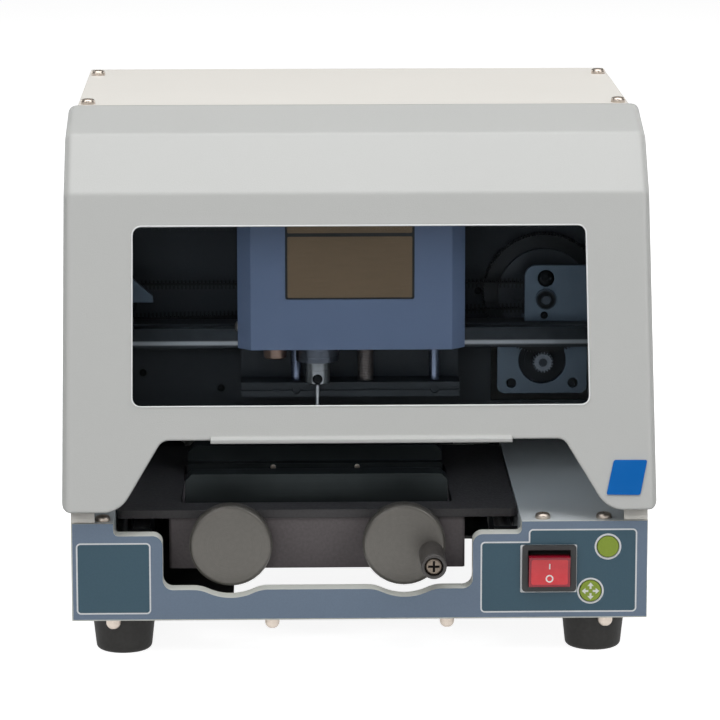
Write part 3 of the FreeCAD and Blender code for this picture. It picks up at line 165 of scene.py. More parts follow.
def powder_coat(name, color, roughness=0.42, mottle=0.05, grain_scale=1500.0, relief=0.25, soften=0.0006):
    """Powder coat or moulded finish: mottled colour, uneven polish and a fine peel."""
    material, tree, shader, coords = new_material(name)
    surface = use_group(tree, coat_group, coords, Color=color, Mottle=mottle,
                        Grain_Scale=grain_scale, Roughness=roughness)
    set_finish(tree, shader, surface.outputs["Color"], surface.outputs["Roughness"])
    raise_surface(tree, shader, surface.outputs["Height"], relief, 0.0003, soften)
    return material


def dress(material, *names):
    """Gives CAD nodes a finish."""
    for name in names:
        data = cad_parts[name].data
        data.materials.clear()
        data.materials.append(material)


dress(powder_coat("case_grey", srgb(226, 223, 217)), "side_panels", "rear_panel", "top_cover")
dress(powder_coat("floor_black", srgb(50, 50, 51), roughness=0.5, mottle=0.2), "bottom_pan")


# The feet: moulded black rubber cups, screwed up into the floor pan.
# Rubber is dull, with a dusty bloom in patches.

foot_rubber = powder_coat("foot_rubber", srgb(52, 51, 49), 0.62, mottle=0.25, grain_scale=420.0, relief=0.4)
dress(foot_rubber, "rubber_feet")


# The inner frame: bulkhead, cross beam and the carriage's plates, all matt black.
# They carry the X rail and the moving head behind the window.

dress(powder_coat("frame_black", srgb(66, 70, 74), roughness=0.5, mottle=0.3, grain_scale=900.0),
      "bulkhead", "x_beam", "carriage_plate", "z_brackets")


# Guide rods, bearing blocks, spindle and cutter: ground or turned steel, and a bronze bush.
# Fine rings run across each piece's axis, and its polish varies along it.

def darken(tree, mask, strength, color):
    """A colour made darker where a mask is high."""
    return blend_colors(tree, sum_up(tree, "MULTIPLY", mask, strength), color, black)


def vector_step(tree, operation, first, second=None):
    """A Vector Math node whose second input is a socket or a plain vector."""
    made = tree.nodes.new("ShaderNodeVectorMath")
    made.operation = operation
    tree.links.new(first, made.inputs[0])
    if isinstance(second, bpy.types.NodeSocket):
        tree.links.new(second, made.inputs[1])
    elif second is not None:
        made.inputs[1].default_value = second
    return made.outputs["Value" if operation in ("LENGTH", "DOT_PRODUCT") else "Vector"]


def ring_noise(tree, distance, scale, detail):
    """Noise that changes only with a distance, so it runs in rings."""
    made = place(tree, "TexNoise", Scale=scale, Detail=detail)
    made.noise_dimensions = "1D"
    tree.links.new(distance, made.inputs["W"])
    return made.outputs[0]


turned_group, turned_in, turned_out = new_group(
    "turned_metal",
    [("Vector", "Vector", None), ("Along", "Vector", (0, 0, 1)), ("Color", "Color", None),
     ("Ring Scale", "Float", 2200.0), ("Roughness", "Float", 0.22)],
    [("Color", "Color"), ("Roughness", "Float"), ("Height", "Float")])
measure = vector_step(turned_group, "DOT_PRODUCT", turned_in["Vector"], turned_in["Along"])
ring_place = sum_up(turned_group, "MULTIPLY", measure, turned_in["Ring Scale"])
rings = ring_noise(turned_group, ring_place, 1.0, 1.0)
stain = noise(turned_group, turned_in["Vector"], 60.0, 4.0)
fill(turned_group, turned_out, {"Color": darken(turned_group, stain, 0.3, turned_in["Color"]),
                                "Roughness": worn(turned_group, rings, 0.2, turned_in["Roughness"]),
                                "Height": rings})


def turned_metal(name, color, along, roughness=0.22, ring_scale=2200.0, soften=0.0):
    """Bare metal with fine tool rings across its axis."""
    material, tree, shader, coords = new_material(name)
    surface = use_group(tree, turned_group, coords, Along=along, Color=color,
                        Ring_Scale=ring_scale, Roughness=roughness)
    set_finish(tree, shader, surface.outputs["Color"], surface.outputs["Roughness"], 1.0)
    raise_surface(tree, shader, surface.outputs["Height"], 0.15, 0.0001, soften)
    return material


steel = srgb(196, 198, 200)
dress(turned_metal("steel_along_x", steel, (1, 0, 0)), "carriage_blocks")
dress(turned_metal("steel_along_y", steel, (0, 1, 0)), "y_rods")
dress(turned_metal("steel_along_z", steel, (0, 0, 1)), "spindle_shaft", "cutter")
dress(turned_metal("guide_rod_steel", srgb(152, 162, 186), (0, 0, 1)), "z_rods")
dress(turned_metal("spindle_collar", srgb(136, 140, 150), (0, 0, 1)), "spindle_block")
dress(turned_metal("bush_bronze", srgb(196, 164, 146), (0, 0, 1), roughness=0.28), "bronze_bush")


# The X rail: a bar of black oxide steel screwed to the beam, where the carriage's blocks run.
# A ground track of bare steel runs along the lower part of its face; its bright band is also a painted
# highlight line.

rail_material, tree, shader, coords = new_material("rail_black")
rail_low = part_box("x_rail")[0]
track_height = 0.0028
track_inside, track_outside = 0.0007, 0.0017
track = place(tree, "SeparateXYZ", Vector=coords)
off_highlight_track = sum_up(tree, "ABSOLUTE", sum_up(tree, "SUBTRACT", track.outputs["Z"], rail_low.z + track_height))
edge = place(tree, "MapRange", Value=off_highlight_track, From_Min=track_inside, From_Max=track_outside,
             To_Min=1.0, To_Max=0.0)
scuffs = noise(tree, coords, 140.0, 4.0)
dark_steel = blend_colors(tree, scuffs, srgb(70, 74, 78), srgb(54, 57, 60))
# The bare steel band along the track also serves as a painted highlight line.
set_finish(tree, shader, blend_colors(tree, edge.outputs[0], dark_steel, steel),
           worn(tree, scuffs, 0.15, 0.25), 0.8)
dress(rail_material, "x_rail")


# The lead screws and vise screws: dark steel rods with a rolled thread.
# The Z screw shows below the head. It has two starts 1 mm apart, so a turn moves the head 2 mm.
# The others lie under the table, and their thread is even grooves 3 mm apart.

def node_tree(name, sizes, shape=None):
    """Geometry tree with a named input for each size, and one for an incoming shape if it has a name."""
    tree = bpy.data.node_groups.new(name, "GeometryNodeTree")
    if shape:
        tree.interface.new_socket(shape, in_out="INPUT", socket_type="NodeSocketGeometry")
    values = {}
    for label, value in sizes.items():
        kind = {int: "Int", float: "Float", tuple: "Vector"}[type(value)]
        socket = tree.interface.new_socket(label, in_out="INPUT", socket_type="NodeSocket" + kind)
        values[socket.identifier] = value
    tree.interface.new_socket("Piece", in_out="OUTPUT", socket_type="NodeSocketGeometry")
    return tree, tree.nodes.new("NodeGroupInput").outputs, values


def step(tree, kind, settings=None, **inputs):
    """Adds a geometry node; each input is a socket, several to join, or a plain value."""
    made = tree.nodes.new("GeometryNode" + kind)
    for name, value in (settings or {}).items():
        setattr(made, name, value)
    return fill(tree, made, inputs).outputs


def show(name, data):
    """Puts a mesh, curve, lamp or camera into the scene."""
    made = bpy.data.objects.new(name, data)
    bpy.context.scene.collection.objects.link(made)
    return made


def grow(tree, shape, material, values, data):
    """Ends a tree, runs it once on a carrier and returns what it made as a plain mesh."""
    real = step(tree, "RealizeInstances", Geometry=shape)
    coated = step(tree, "SetMaterial", Geometry=real[0], Material=material)
    tree.links.new(coated[0], tree.nodes.new("NodeGroupOutput").inputs[0])
    carrier = show(tree.name + "_carrier", data)
    modifier = carrier.modifiers.new("nodes", "NODES")
    modifier.node_group = tree
    for identifier, value in values.items():
        modifier[identifier] = value
    mesh = bpy.data.meshes.new_from_object(carrier.evaluated_get(bpy.context.evaluated_depsgraph_get()))
    bpy.data.objects.remove(carrier)
    return mesh


def closed(work, name, material=None):
    """Makes a mesh of an edited shape, with its faces outward."""
    bmesh.ops.recalc_face_normals(work, faces=work.faces)
    data = bpy.data.meshes.new(name)
    work.to_mesh(data)
    work.free()
    if material:
        data.materials.append(material)
    return data


def add_piece(name, data, body, node=None):
    """Shows a mesh as a piece of a body, in place of a CAD node if one is named."""
    made = show(name, data)
    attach(made, body)
    if node:
        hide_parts(node)


def threaded_rod(name, node, lead, starts, depth, metal):
    """Upright CAD rod whose thick length gets a real thread from a node tree."""
    low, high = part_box(node)
    centre = Vector(((low.x + high.x) / 2, (low.y + high.y) / 2, low.z))
    crest = (high.x - low.x) / 2
    corners = [corner.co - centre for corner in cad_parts[node].data.vertices]
    shoulder = max(corner.z for corner in corners if corner.xy.length > 0.98 * crest)
    neck_radius = max(corner.xy.length for corner in corners if corner.z > shoulder + 0.0001)
    rows_per_thread = 8
    rows = 1 + round(rows_per_thread * shoulder * starts / lead)
    columns = 33
    crest_end, root_start = 0.1, 0.4

    tree, size, values = node_tree(name + "_turns", {
        "Length": shoulder, "Crest Radius": crest, "Thread Depth": depth, "Lead": lead, "Starts": starts,
        "Neck Radius": neck_radius, "Neck Length": high.z - low.z - shoulder})
    sheet = step(tree, "MeshGrid", Size_X=1.0, Size_Y=size["Length"], Vertices_X=columns, Vertices_Y=rows)
    flat = place(tree, "SeparateXYZ", Vector=step(tree, "InputPosition")[0]).outputs
    turn = flat["X"]
    angle = sum_up(tree, "MULTIPLY", turn, 2 * math.pi)
    height = sum_up(tree, "MULTIPLY_ADD", size["Length"], 0.5, flat["Y"])
    risen = sum_up(tree, "SUBTRACT", sum_up(tree, "DIVIDE", height, size["Lead"]), turn)
    wave = sum_up(tree, "PINGPONG", sum_up(tree, "MULTIPLY", risen, size["Starts"]), 0.5)
    flank = place(tree, "MapRange", Value=wave, From_Min=crest_end, From_Max=root_start)
    cut = sum_up(tree, "MULTIPLY", flank.outputs[0], size["Thread Depth"])
    radius = sum_up(tree, "SUBTRACT", size["Crest Radius"], cut)
    wound = place(tree, "CombineXYZ", X=sum_up(tree, "MULTIPLY", radius, sum_up(tree, "COSINE", angle)),
                  Y=sum_up(tree, "MULTIPLY", radius, sum_up(tree, "SINE", angle)), Z=height)
    wrapped = step(tree, "SetPosition", Geometry=sheet["Mesh"], Position=wound.outputs[0])
    sealed = step(tree, "MergeByDistance", Geometry=wrapped[0], Distance=0.000001)
    neck = step(tree, "MeshCylinder", Vertices=24, Radius=size["Neck Radius"], Depth=size["Neck Length"])
    neck_height = sum_up(tree, "MULTIPLY_ADD", size["Neck Length"], 0.5, size["Length"])
    above = place(tree, "CombineXYZ", Z=neck_height).outputs[0]
    raised = step(tree, "Transform", Geometry=neck["Mesh"], Translation=above)
    both = step(tree, "JoinGeometry", Geometry=[raised[0], sealed[0]])
    mesh = grow(tree, both[0], metal, values, bpy.data.meshes.new(name + "_blank"))

    work = bmesh.new()
    work.from_mesh(mesh)
    bmesh.ops.holes_fill(work, edges=work.edges)
    bmesh.ops.translate(work, verts=work.verts, vec=centre)
    add_piece(name, closed(work, name, metal), "z_lead_screw", node)


def rolled_thread(name, direction, pitch):
    """Dark rolled steel thread with grooves across its axis."""
    material, tree, shader, coords = new_material(name)
    wave = place(tree, "TexWave", Vector=coords, Scale=math.pi / (10 * pitch))
    wave.bands_direction = direction
    grooves = wave.outputs["Fac"]
    set_finish(tree, shader, blend_colors(tree, grooves, srgb(52, 54, 56), srgb(150, 152, 154)),
               worn(tree, grooves, -0.2, 0.5), 1.0)
    raise_surface(tree, shader, grooves, 0.6, 0.0006)
    return material


z_thread_steel = turned_metal("z_thread_steel", srgb(196, 186, 182), (0, 0, 1), roughness=0.4)
threaded_rod("z_screw_threaded", "z_screw", lead=0.002, starts=2.0, depth=0.0006, metal=z_thread_steel)
dress(rolled_thread("y_thread", "Y", 0.003), "y_screw", "left_vise_screw", "right_vise_screw")


# Machined aluminium: the gear bracket, idler bracket and motor plate.
# Sawn and milled plate, with faint cutter marks. The table bearings are made near black.

milled_plate = turned_metal("milled_plate", srgb(118, 130, 142), (1, 0.2, 0.3), roughness=0.36,
                            ring_scale=900.0, soften=0.0004)
dress(milled_plate, "gear_bracket", "idler_bracket", "motor_plate")
dress(turned_metal("bearing_black", srgb(38, 40, 42), (0, 1, 0), roughness=0.45, ring_scale=900.0),
      "rod_blocks", "table_runners")


# The motors: square steppers of black stamped laminations, and the round spindle motor.
# The laminations show as fine lines around the body.

dress(turned_metal("motor_laminations", srgb(62, 64, 66), (0, 1, 0), roughness=0.45, ring_scale=1400.0),
      "drive_motors")
dress(turned_metal("head_motor_case", srgb(70, 72, 74), (0, 0, 1), roughness=0.4, ring_scale=1400.0),
      "z_motor", "spindle_motor")


# The X drive: a large moulded gear with a raised ring, turned by the motor's steel pinion.
# The gear is black plastic, painted darker outside the ring as painted shade over its teeth. The idler and
# pulley are black too.

def axis_of(node):
    """Centre (x, z) and radius of a round CAD node whose axis runs front to back."""
    low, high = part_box(node)
    return ((low.x + high.x) / 2, (low.z + high.z) / 2), (high.x - low.x) / 2


def from_axis(tree, coords, node):
    """Offset of a surface point from a round node's axis, as a flat vector."""
    x, z = axis_of(node)[0]
    return vector_step(tree, "MULTIPLY", vector_step(tree, "SUBTRACT", coords, (x, 0, z)), (1, 0, 1))


def ringed(name, node, inner, outer, edge, fade, metallic, roughness):
    """Round piece in one colour inside a radius and another outside it."""
    material, tree, shader, coords = new_material(name)
    distance = vector_step(tree, "LENGTH", from_axis(tree, coords, node))
    split = place(tree, "MapRange", Value=distance, From_Min=edge, From_Max=edge + fade)
    specks = noise(tree, coords, 600.0, 2.0)
    color = blend_colors(tree, split.outputs[0], inner, outer)
    set_finish(tree, shader, darken(tree, specks, 0.3, color),
               worn(tree, specks, 0.2, roughness), metallic)
    return material


# The gear's darker colour outside its ring is painted shade over the teeth.
for name, node, inner, outer, edge, fade, metallic, roughness in (
        ("gear_plastic", "drive_gear", srgb(62, 66, 70), srgb(26, 27, 28), 0.0284, 0.0008, 0.0, 0.36),
        ("pinion_steel", "motor_pinion", srgb(70, 74, 80), srgb(140, 146, 154), 0.0024, 0.0006, 1.0, 0.3),
        ("pulley_black", "drive_pulley", srgb(96, 102, 110), srgb(44, 46, 48), 0.0024, 0.0006, 0.8, 0.36),
        ("idler_black", "idler_pulley", srgb(80, 84, 90), srgb(36, 37, 39), 0.0026, 0.0006, 0.5, 0.4)):
    dress(ringed(name, node, inner, outer, edge, fade, metallic, roughness), node)


# The belts: toothed rubber loops, one across the X drive and one between the vise screws.
# Each is rebuilt with its teeth on the inside, which run round the loop at an even pitch.

def loop_points(left, left_radius, right, right_radius, steps=24):
    """Points once round two pulleys at (x, z), as a belt's inner face runs."""
    span = Vector((right[0] - left[0], right[1] - left[1]))
    tilt = math.atan2(span.y, span.x)
    lean = math.acos((left_radius - right_radius) / span.length)
    points = []
    for center, radius, start, stop in (
            (right, right_radius, tilt + lean, tilt - lean),
            (left, left_radius, tilt - lean, tilt + lean - 2 * math.pi)):
        for i in range(steps + 1):
            angle = start + (stop - start) * i / steps
            points.append((center[0] + radius * math.cos(angle), center[1] + radius * math.sin(angle)))
    return points


def path_curve(name, points):
    """Closed curve through points, for a node tree to run along."""
    path = bpy.data.curves.new(name, "CURVE")
    path.dimensions = "3D"
    spline = path.splines.new("POLY")
    spline.points.add(len(points) - 1)
    for point, (x, y, z) in zip(spline.points, points):
        point.co = (x, y, z, 1)
    spline.use_cyclic_u = True
    return path


belt_rubber = powder_coat("belt_rubber", srgb(36, 36, 37), 0.55, mottle=0.3, grain_scale=700.0, soften=0)
belt_gap = 0.00006
belt_band = 0.0009
belt_pitch = 0.0025
tooth_width, tooth_height = 0.0012, 0.0008


def toothed_belt(name, node, left_pulley, right_pulley, body):
    """Belt band over the CAD loop's width, with teeth set along it by a node tree."""
    low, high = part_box(node)
    left, left_radius = axis_of(left_pulley)
    right, right_radius = axis_of(right_pulley)
    stand = belt_gap + tooth_height
    inner = loop_points(left, left_radius + stand, right, right_radius + stand)
    outer = loop_points(left, left_radius + stand + belt_band, right, right_radius + stand + belt_band)
    middle = (low.y + high.y) / 2
    tree, size, values = node_tree(name + "_teeth", {
        "Pitch": belt_pitch, "Tooth": (tooth_height, high.y - low.y, tooth_width)}, "Path")
    spread = step(tree, "CurveToPoints", {"mode": "LENGTH"}, Curve=size["Path"], Length=size["Pitch"])
    cube = step(tree, "MeshCube", Size=size["Tooth"])
    teeth = step(tree, "InstanceOnPoints", Points=spread["Points"], Rotation=spread["Rotation"],
                 Instance=cube["Mesh"])
    path = path_curve(name + "_path", [(x, middle, z) for x, z in inner])
    belt = grow(tree, teeth[0], belt_rubber, values, path)

    work = bmesh.new()
    work.from_mesh(belt)
    rows = []
    for y in (low.y, high.y):
        for line in (outer, inner):
            rows.append([work.verts.new((x, y, z)) for x, z in line])
    count = len(outer)
    for first, second in ((0, 2), (3, 1), (1, 0), (2, 3)):
        for i in range(count):
            j = (i + 1) % count
            face = work.faces.new((rows[first][i], rows[first][j], rows[second][j], rows[second][i]))
            face.smooth = first in (0, 3)
    add_piece(name, closed(work, name, belt_rubber), body, node)


toothed_belt("x_belt_toothed", "x_belt", "idler_pulley", "drive_pulley", "base")
toothed_belt("vise_belt_toothed", "vise_belt", "left_vise_screw", "right_vise_screw", "table")


# The head cover: a folded blue-grey cover over the Z slide and spindle motor.
# A blank bronze plate with black printed borders is stuck to its front.

dress(powder_coat("head_blue", srgb(127, 141, 170), roughness=0.4, mottle=0.06), "head_cover")

box_group, box_in, box_out = new_group(
    "rounded_box",
    [("Vector", "Vector", None), ("Center", "Vector", (0, 0, 0)), ("Half Size", "Vector", (0, 0, 0)),
     ("Corner", "Float", 0.002)],
    [("Distance", "Float")])

# The box is flat and faces front, so depth is left out of the distance to its outline.
flat = vector_step(box_group, "SUBTRACT", box_in["Vector"], box_in["Center"])
flat = vector_step(box_group, "MULTIPLY", flat, (1, 0, 1))
flat = vector_step(box_group, "ABSOLUTE", flat)
flat = vector_step(box_group, "SUBTRACT", flat, box_in["Half Size"])
corner_vector = place(box_group, "CombineXYZ", X=box_in["Corner"], Z=box_in["Corner"])
flat = vector_step(box_group, "ADD", flat, corner_vector.outputs[0])
flat = vector_step(box_group, "MAXIMUM", flat, (0, 0, 0))
from_corner = vector_step(box_group, "LENGTH", flat)
fill(box_group, box_out, {"Distance": sum_up(box_group, "SUBTRACT", from_corner, box_in["Corner"])})


def box_distance(tree, coords, center, half_size, corner):
    """Distance from a rounded box's outline, less than nothing inside it."""
    return use_group(tree, box_group, coords, Center=center, Half_Size=half_size, Corner=corner).outputs[0]


def plate(name, corners, thickness, material, rounding, body):
    """Thin plate on a plane: corners run anticlockwise seen from its front, edges rounded."""
    points = [Vector(c) for c in corners]
    normal = (points[1] - points[0]).cross(points[2] - points[1]).normalized()
    work = bmesh.new()
    back = [work.verts.new(p) for p in points]
    front = [work.verts.new(p + normal * thickness) for p in points]
    work.faces.new(front)
    work.faces.new(back[::-1])
    sides = []
    for i in range(len(points)):
        j = (i + 1) % len(points)
        work.faces.new((back[i], back[j], front[j], front[i]))
        sides.append(work.edges.get((back[i], front[i])))
    bmesh.ops.bevel(work, geom=sides, offset=rounding, segments=5, affect="EDGES", profile=0.5)
    add_piece(name, closed(work, name, material), body)


cover_low, cover_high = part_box("head_cover")
label_left, label_right = -0.043, 0.035
label_bottom, label_top = cover_low.z + 0.0311, cover_low.z + 0.0961
label_split = cover_low.z + 0.0705
label_material, tree, shader, coords = new_material("label_bronze")
label_center_x = (label_left + label_right) / 2
label_half_x = (label_right - label_left) / 2 - 0.0014
label_corner = 0.0012
label_thickness = 0.0004
pane_corner = 0.0008
border = 0.0011
panes = [box_distance(tree, coords, (label_center_x, 0, (low_z + high_z) / 2),
                      (label_half_x, 0, (high_z - low_z) / 2 - border), pane_corner)
         for low_z, high_z in ((label_bottom, label_split), (label_split, label_top))]
inside = sum_up(tree, "LESS_THAN", sum_up(tree, "MINIMUM", *panes), 0.0)
stretch = place(tree, "Mapping", Vector=coords, Scale=(60, 60, 1800))
brushing = noise(tree, stretch.outputs[0], 1.0, 2.0)
gold = blend_colors(tree, brushing, srgb(140, 115, 88), srgb(124, 101, 77))
set_finish(tree, shader, blend_colors(tree, inside, srgb(26, 24, 22), gold),
           worn(tree, brushing, 0.2, 0.3))
tree.links.new(sum_up(tree, "MULTIPLY", inside, 0.6), shader.inputs["Metallic"])
label_corners = [(x, cover_low.y, z) for x, z in (
    (label_left, label_bottom), (label_right, label_bottom),
    (label_right, label_top), (label_left, label_top))]
plate("label_plate", label_corners, label_thickness, label_material, label_corner, "x_carriage")


# The table and vise: a plate in rough black paint over a cast vise body, with dark anodised jaws.
# The table's paint is coarse; the vise body below it is a warmer, smoother dark grey.

dress(powder_coat("table_texture", srgb(66, 64, 66), 0.5, mottle=0.35, grain_scale=620.0, relief=0.6),
      "table_plate")
dress(powder_coat("vise_texture", srgb(114, 107, 109), 0.55, mottle=0.3, grain_scale=520.0, relief=0.6),
      "vise_body")
dress(turned_metal("jaw_anodised", srgb(56, 61, 62), (0, 0, 1), 0.42, ring_scale=700.0, soften=0.0005),
      "front_jaw", "rear_jaw")


# The hand wheels: moulded grey discs with a finely ribbed rim, pressed onto the vise screws.
# The right one carries a free-turning crank grip on a shoulder bolt.

def wheel_finish(name, node):
    """Grey coat over a turned face, with faint tool rings round the wheel's axis."""
    material, tree, shader, coords = new_material(name)
    surface = use_group(tree, coat_group, coords, Color=srgb(112, 109, 104), Mottle=0.16,
                        Grain_Scale=420.0, Roughness=0.3)
    rings = ring_noise(tree, vector_step(tree, "LENGTH", from_axis(tree, coords, node)), 1900.0, 2.0)
    set_finish(tree, shader, darken(tree, rings, 0.2, surface.outputs["Color"]),
               surface.outputs["Roughness"], 0.4)
    raise_surface(tree, shader, rings, 0.5, 0.0001)
    return material


def spin_round(work, outline, steps):
    """Turns an outline into a round shape about the front-to-back axis."""
    bmesh.ops.spin(work, geom=outline, cent=(0, 0, 0), axis=(0, 1, 0), angle=2 * math.pi, steps=steps,
                   use_duplicate=False)
    bmesh.ops.remove_doubles(work, verts=work.verts, dist=1e-6)


def ribbed_wheel(name, node, body):
    """Disc turned from a profile, with ribs set round its rim by a node tree."""
    low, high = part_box(node)
    (axis_x, axis_z), radius = axis_of(node)
    rim_depth = 0.012
    edge = 0.0022
    hub = 0.010
    rib_count = 150
    rib = 0.0004
    front = low.y
    back = low.y + rim_depth
    ground = radius - rib
    bore = 0.0052
    steps = 6
    quarter = [math.pi / 2 * i / steps for i in range(steps + 1)]
    profile = [(0.0, front), (hub * 0.2, front)]
    profile += [(ground - edge + edge * math.sin(a), front + edge - edge * math.cos(a)) for a in quarter]
    profile += [(ground - edge + edge * math.cos(a), back - edge + edge * math.sin(a)) for a in quarter]
    profile += [(hub, back), (hub, high.y), (bore, high.y)]
    work = bmesh.new()
    line = [work.verts.new((r, y, 0)) for r, y in profile]
    edges = [work.edges.new(pair) for pair in zip(line, line[1:])]
    spin_round(work, line + edges, 96)
    for face in work.faces:
        face.smooth = True
    disc = closed(work, name + "_disc")

    tree, size, values = node_tree(name + "_ribs", {
        "Rib Count": rib_count, "Rim Radius": ground,
        "Rib Size": (2 * rib, rim_depth - 2.4 * edge, 1.2 * rib)}, "Disc")
    circle = step(tree, "CurvePrimitiveCircle", Radius=size["Rim Radius"])
    spread = step(tree, "CurveToPoints", Curve=circle["Curve"], Count=size["Rib Count"])
    cube = step(tree, "MeshCube", Size=size["Rib Size"])
    ribs = step(tree, "InstanceOnPoints", Points=spread["Points"], Rotation=spread["Rotation"],
                Instance=cube["Mesh"])
    turned = step(tree, "Transform", Geometry=ribs[0], Rotation=(math.pi / 2, 0, 0),
                  Translation=(0, (front + back) / 2, 0))
    both = step(tree, "JoinGeometry", Geometry=[turned[0], size["Disc"]])
    mesh = grow(tree, both[0], wheel_finish(name + "_grey", node), values, disc)
    mesh.transform(Matrix.Translation((axis_x, 0, axis_z)))
    add_piece(name, mesh, body, node)


ribbed_wheel("left_wheel_ribbed", "left_handwheel", "left_screw")
ribbed_wheel("crank_wheel_ribbed", "crank_wheel", "right_screw")
dress(powder_coat("grip_plastic", srgb(66, 63, 61), 0.3, mottle=0.15, grain_scale=500.0), "crank_grip")
bolt_material, tree, shader, coords = new_material("bolt_steel")
# The cross recess in the bolt's head is painted near black, as painted shade in the recess.
off_bolt = vector_step(tree, "ABSOLUTE", from_axis(tree, coords, "grip_bolt"))
off_bolt = place(tree, "SeparateXYZ", Vector=off_bolt).outputs
bolt_cross = sum_up(tree, "MINIMUM", off_bolt["X"], off_bolt["Z"])
bolt_reach = sum_up(tree, "MAXIMUM", off_bolt["X"], off_bolt["Z"])
cross_half_width, cross_reach = 0.0007, 0.0034
painted_cross_shade = sum_up(tree, "MULTIPLY", sum_up(tree, "LESS_THAN", bolt_cross, cross_half_width),
                  sum_up(tree, "LESS_THAN", bolt_reach, cross_reach))
bolt_stain = noise(tree, coords, 300.0, 3.0)
bolt_color = blend_colors(tree, bolt_stain, srgb(138, 126, 114), srgb(104, 96, 88))
set_finish(tree, shader, blend_colors(tree, painted_cross_shade, bolt_color, srgb(20, 18, 17)),
           worn(tree, bolt_stain, 0.2, 0.3), 0.9)
dress(bolt_material, "grip_bolt")


# The front panel and the two console decks: folded sheet in light grey powder coat.
# A printed blue film covers the panel's front, with darker outlined fields for the controls.

dress(powder_coat("console_grey", srgb(212, 214, 208)), "front_panel")
# The decks are a darker, bluer copy of the panel's grey: painted shade under the hood.
dress(powder_coat("deck_shaded_grey", srgb(188, 194, 197)), "console_decks")


def front_of(node):
    """Centre and half size of a CAD node seen from the front, without its depth."""
    low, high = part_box(node)
    return Vector(((low.x + high.x) / 2, 0, (low.z + high.z) / 2)), (high - low) * 0.5 * Vector((1, 0, 1))


panel_low, panel_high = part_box("front_panel")
film_margin = 0.0008
film_thickness = 0.0002
film = bmesh.new()
film.from_mesh(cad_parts["front_panel"].data)
bmesh.ops.remove_doubles(film, verts=film.verts, dist=1e-6)
behind = [v for v in film.verts if v.co.y > panel_low.y + 1e-5]
bmesh.ops.delete(film, geom=behind, context="VERTS")
bmesh.ops.dissolve_limit(film, angle_limit=0.02, verts=film.verts, edges=film.edges)
for point, normal in (
        ((panel_low.x + film_margin, 0, 0), (-1, 0, 0)),
        ((panel_high.x - film_margin / 2, 0, 0), (1, 0, 0)),
        ((0, 0, panel_low.z + film_margin), (0, 0, -1))):
    everything = film.verts[:] + film.edges[:] + film.faces[:]
    bmesh.ops.bisect_plane(film, geom=everything, plane_co=point, plane_no=normal, clear_outer=True)
grown = bmesh.ops.extrude_face_region(film, geom=film.faces[:])
lifted = [v for v in grown["geom"] if isinstance(v, bmesh.types.BMVert)]
bmesh.ops.translate(film, verts=lifted, vec=(0, -film_thickness, 0))

film_material, tree, shader, coords = new_material("film_print")
film_blue = srgb(104, 121, 141)
film_teal = srgb(42, 76, 92)
film_white = srgb(222, 224, 226)
field_corner = 0.0022
line_width = 0.0009


def print_over(distance, limit, ink, below):
    """Ink laid where a distance is under a limit, over what is printed below it."""
    return blend_colors(tree, sum_up(tree, "LESS_THAN", distance, limit), below, ink)


def print_field(fields, below):
    """Teal field with a white outline, over what is printed below it."""
    distance = fields[0] if len(fields) == 1 else sum_up(tree, "MINIMUM", *fields)
    outlined = print_over(distance, line_width / 2, film_white, below)
    return print_over(distance, -line_width / 2, film_teal, outlined)


def field(x0, x1, z0, z1):
    """Distance to a rounded box given by its edges from the panel's left and bottom edge."""
    center = ((x0 + x1) / 2 + panel_low.x, 0, (z0 + z1) / 2 + panel_low.z)
    return box_distance(tree, coords, center, ((x1 - x0) / 2, 0, (z1 - z0) / 2), field_corner)


weave = noise(tree, coords, 900.0, 2.0)
ink = print_field([field(0.0033, 0.0463, 0.0044, 0.0467)], film_blue)
ink = print_field([field(0.2417, 0.3333, 0.0040, 0.0462), field(0.2701, 0.3333, 0.0040, 0.0537)], ink)
button_gap = srgb(96, 104, 96)
for button in ("shift_button", "jog_pad"):
    center = front_of(button)[0]
    for radius, color in ((0.0082, film_teal), (0.0079, film_white), (0.0068, button_gap)):
        ring = box_distance(tree, coords, center, (radius, 0, radius), radius)
        ink = print_over(ring, 0.0, color, ink)
bezel_center, bezel_half = front_of("switch_housing")
switch_shift = Vector((-0.0003, 0, -0.0004))
switch_gap = Vector((0.0007, 0, 0.0005))
switch_edge = box_distance(tree, coords, bezel_center + switch_shift, bezel_half + switch_gap, 0.0008)
ink = print_over(switch_edge, 0.0, film_white, ink)
set_finish(tree, shader, darken(tree, weave, 0.12, ink), worn(tree, weave, 0.2, 0.36))
raise_surface(tree, shader, weave, 0.15, 0.0002)
add_piece("front_film", closed(film, "front_film", film_material), "base")


# The power switch: a black snap-in housing with a glossy red rocker marked I and O.
# The marks are printed white on the rocker's two halves, and a dark magenta rim round its face is painted
# shade.

dress(powder_coat("switch_black", srgb(42, 43, 44), 0.42, mottle=0.2, grain_scale=800.0), "switch_housing")
rocker_material, tree, shader, coords = new_material("rocker_red")
depth_noise = noise(tree, coords, 220.0, 3.0)
rocker_center, rocker_half = front_of("rocker")
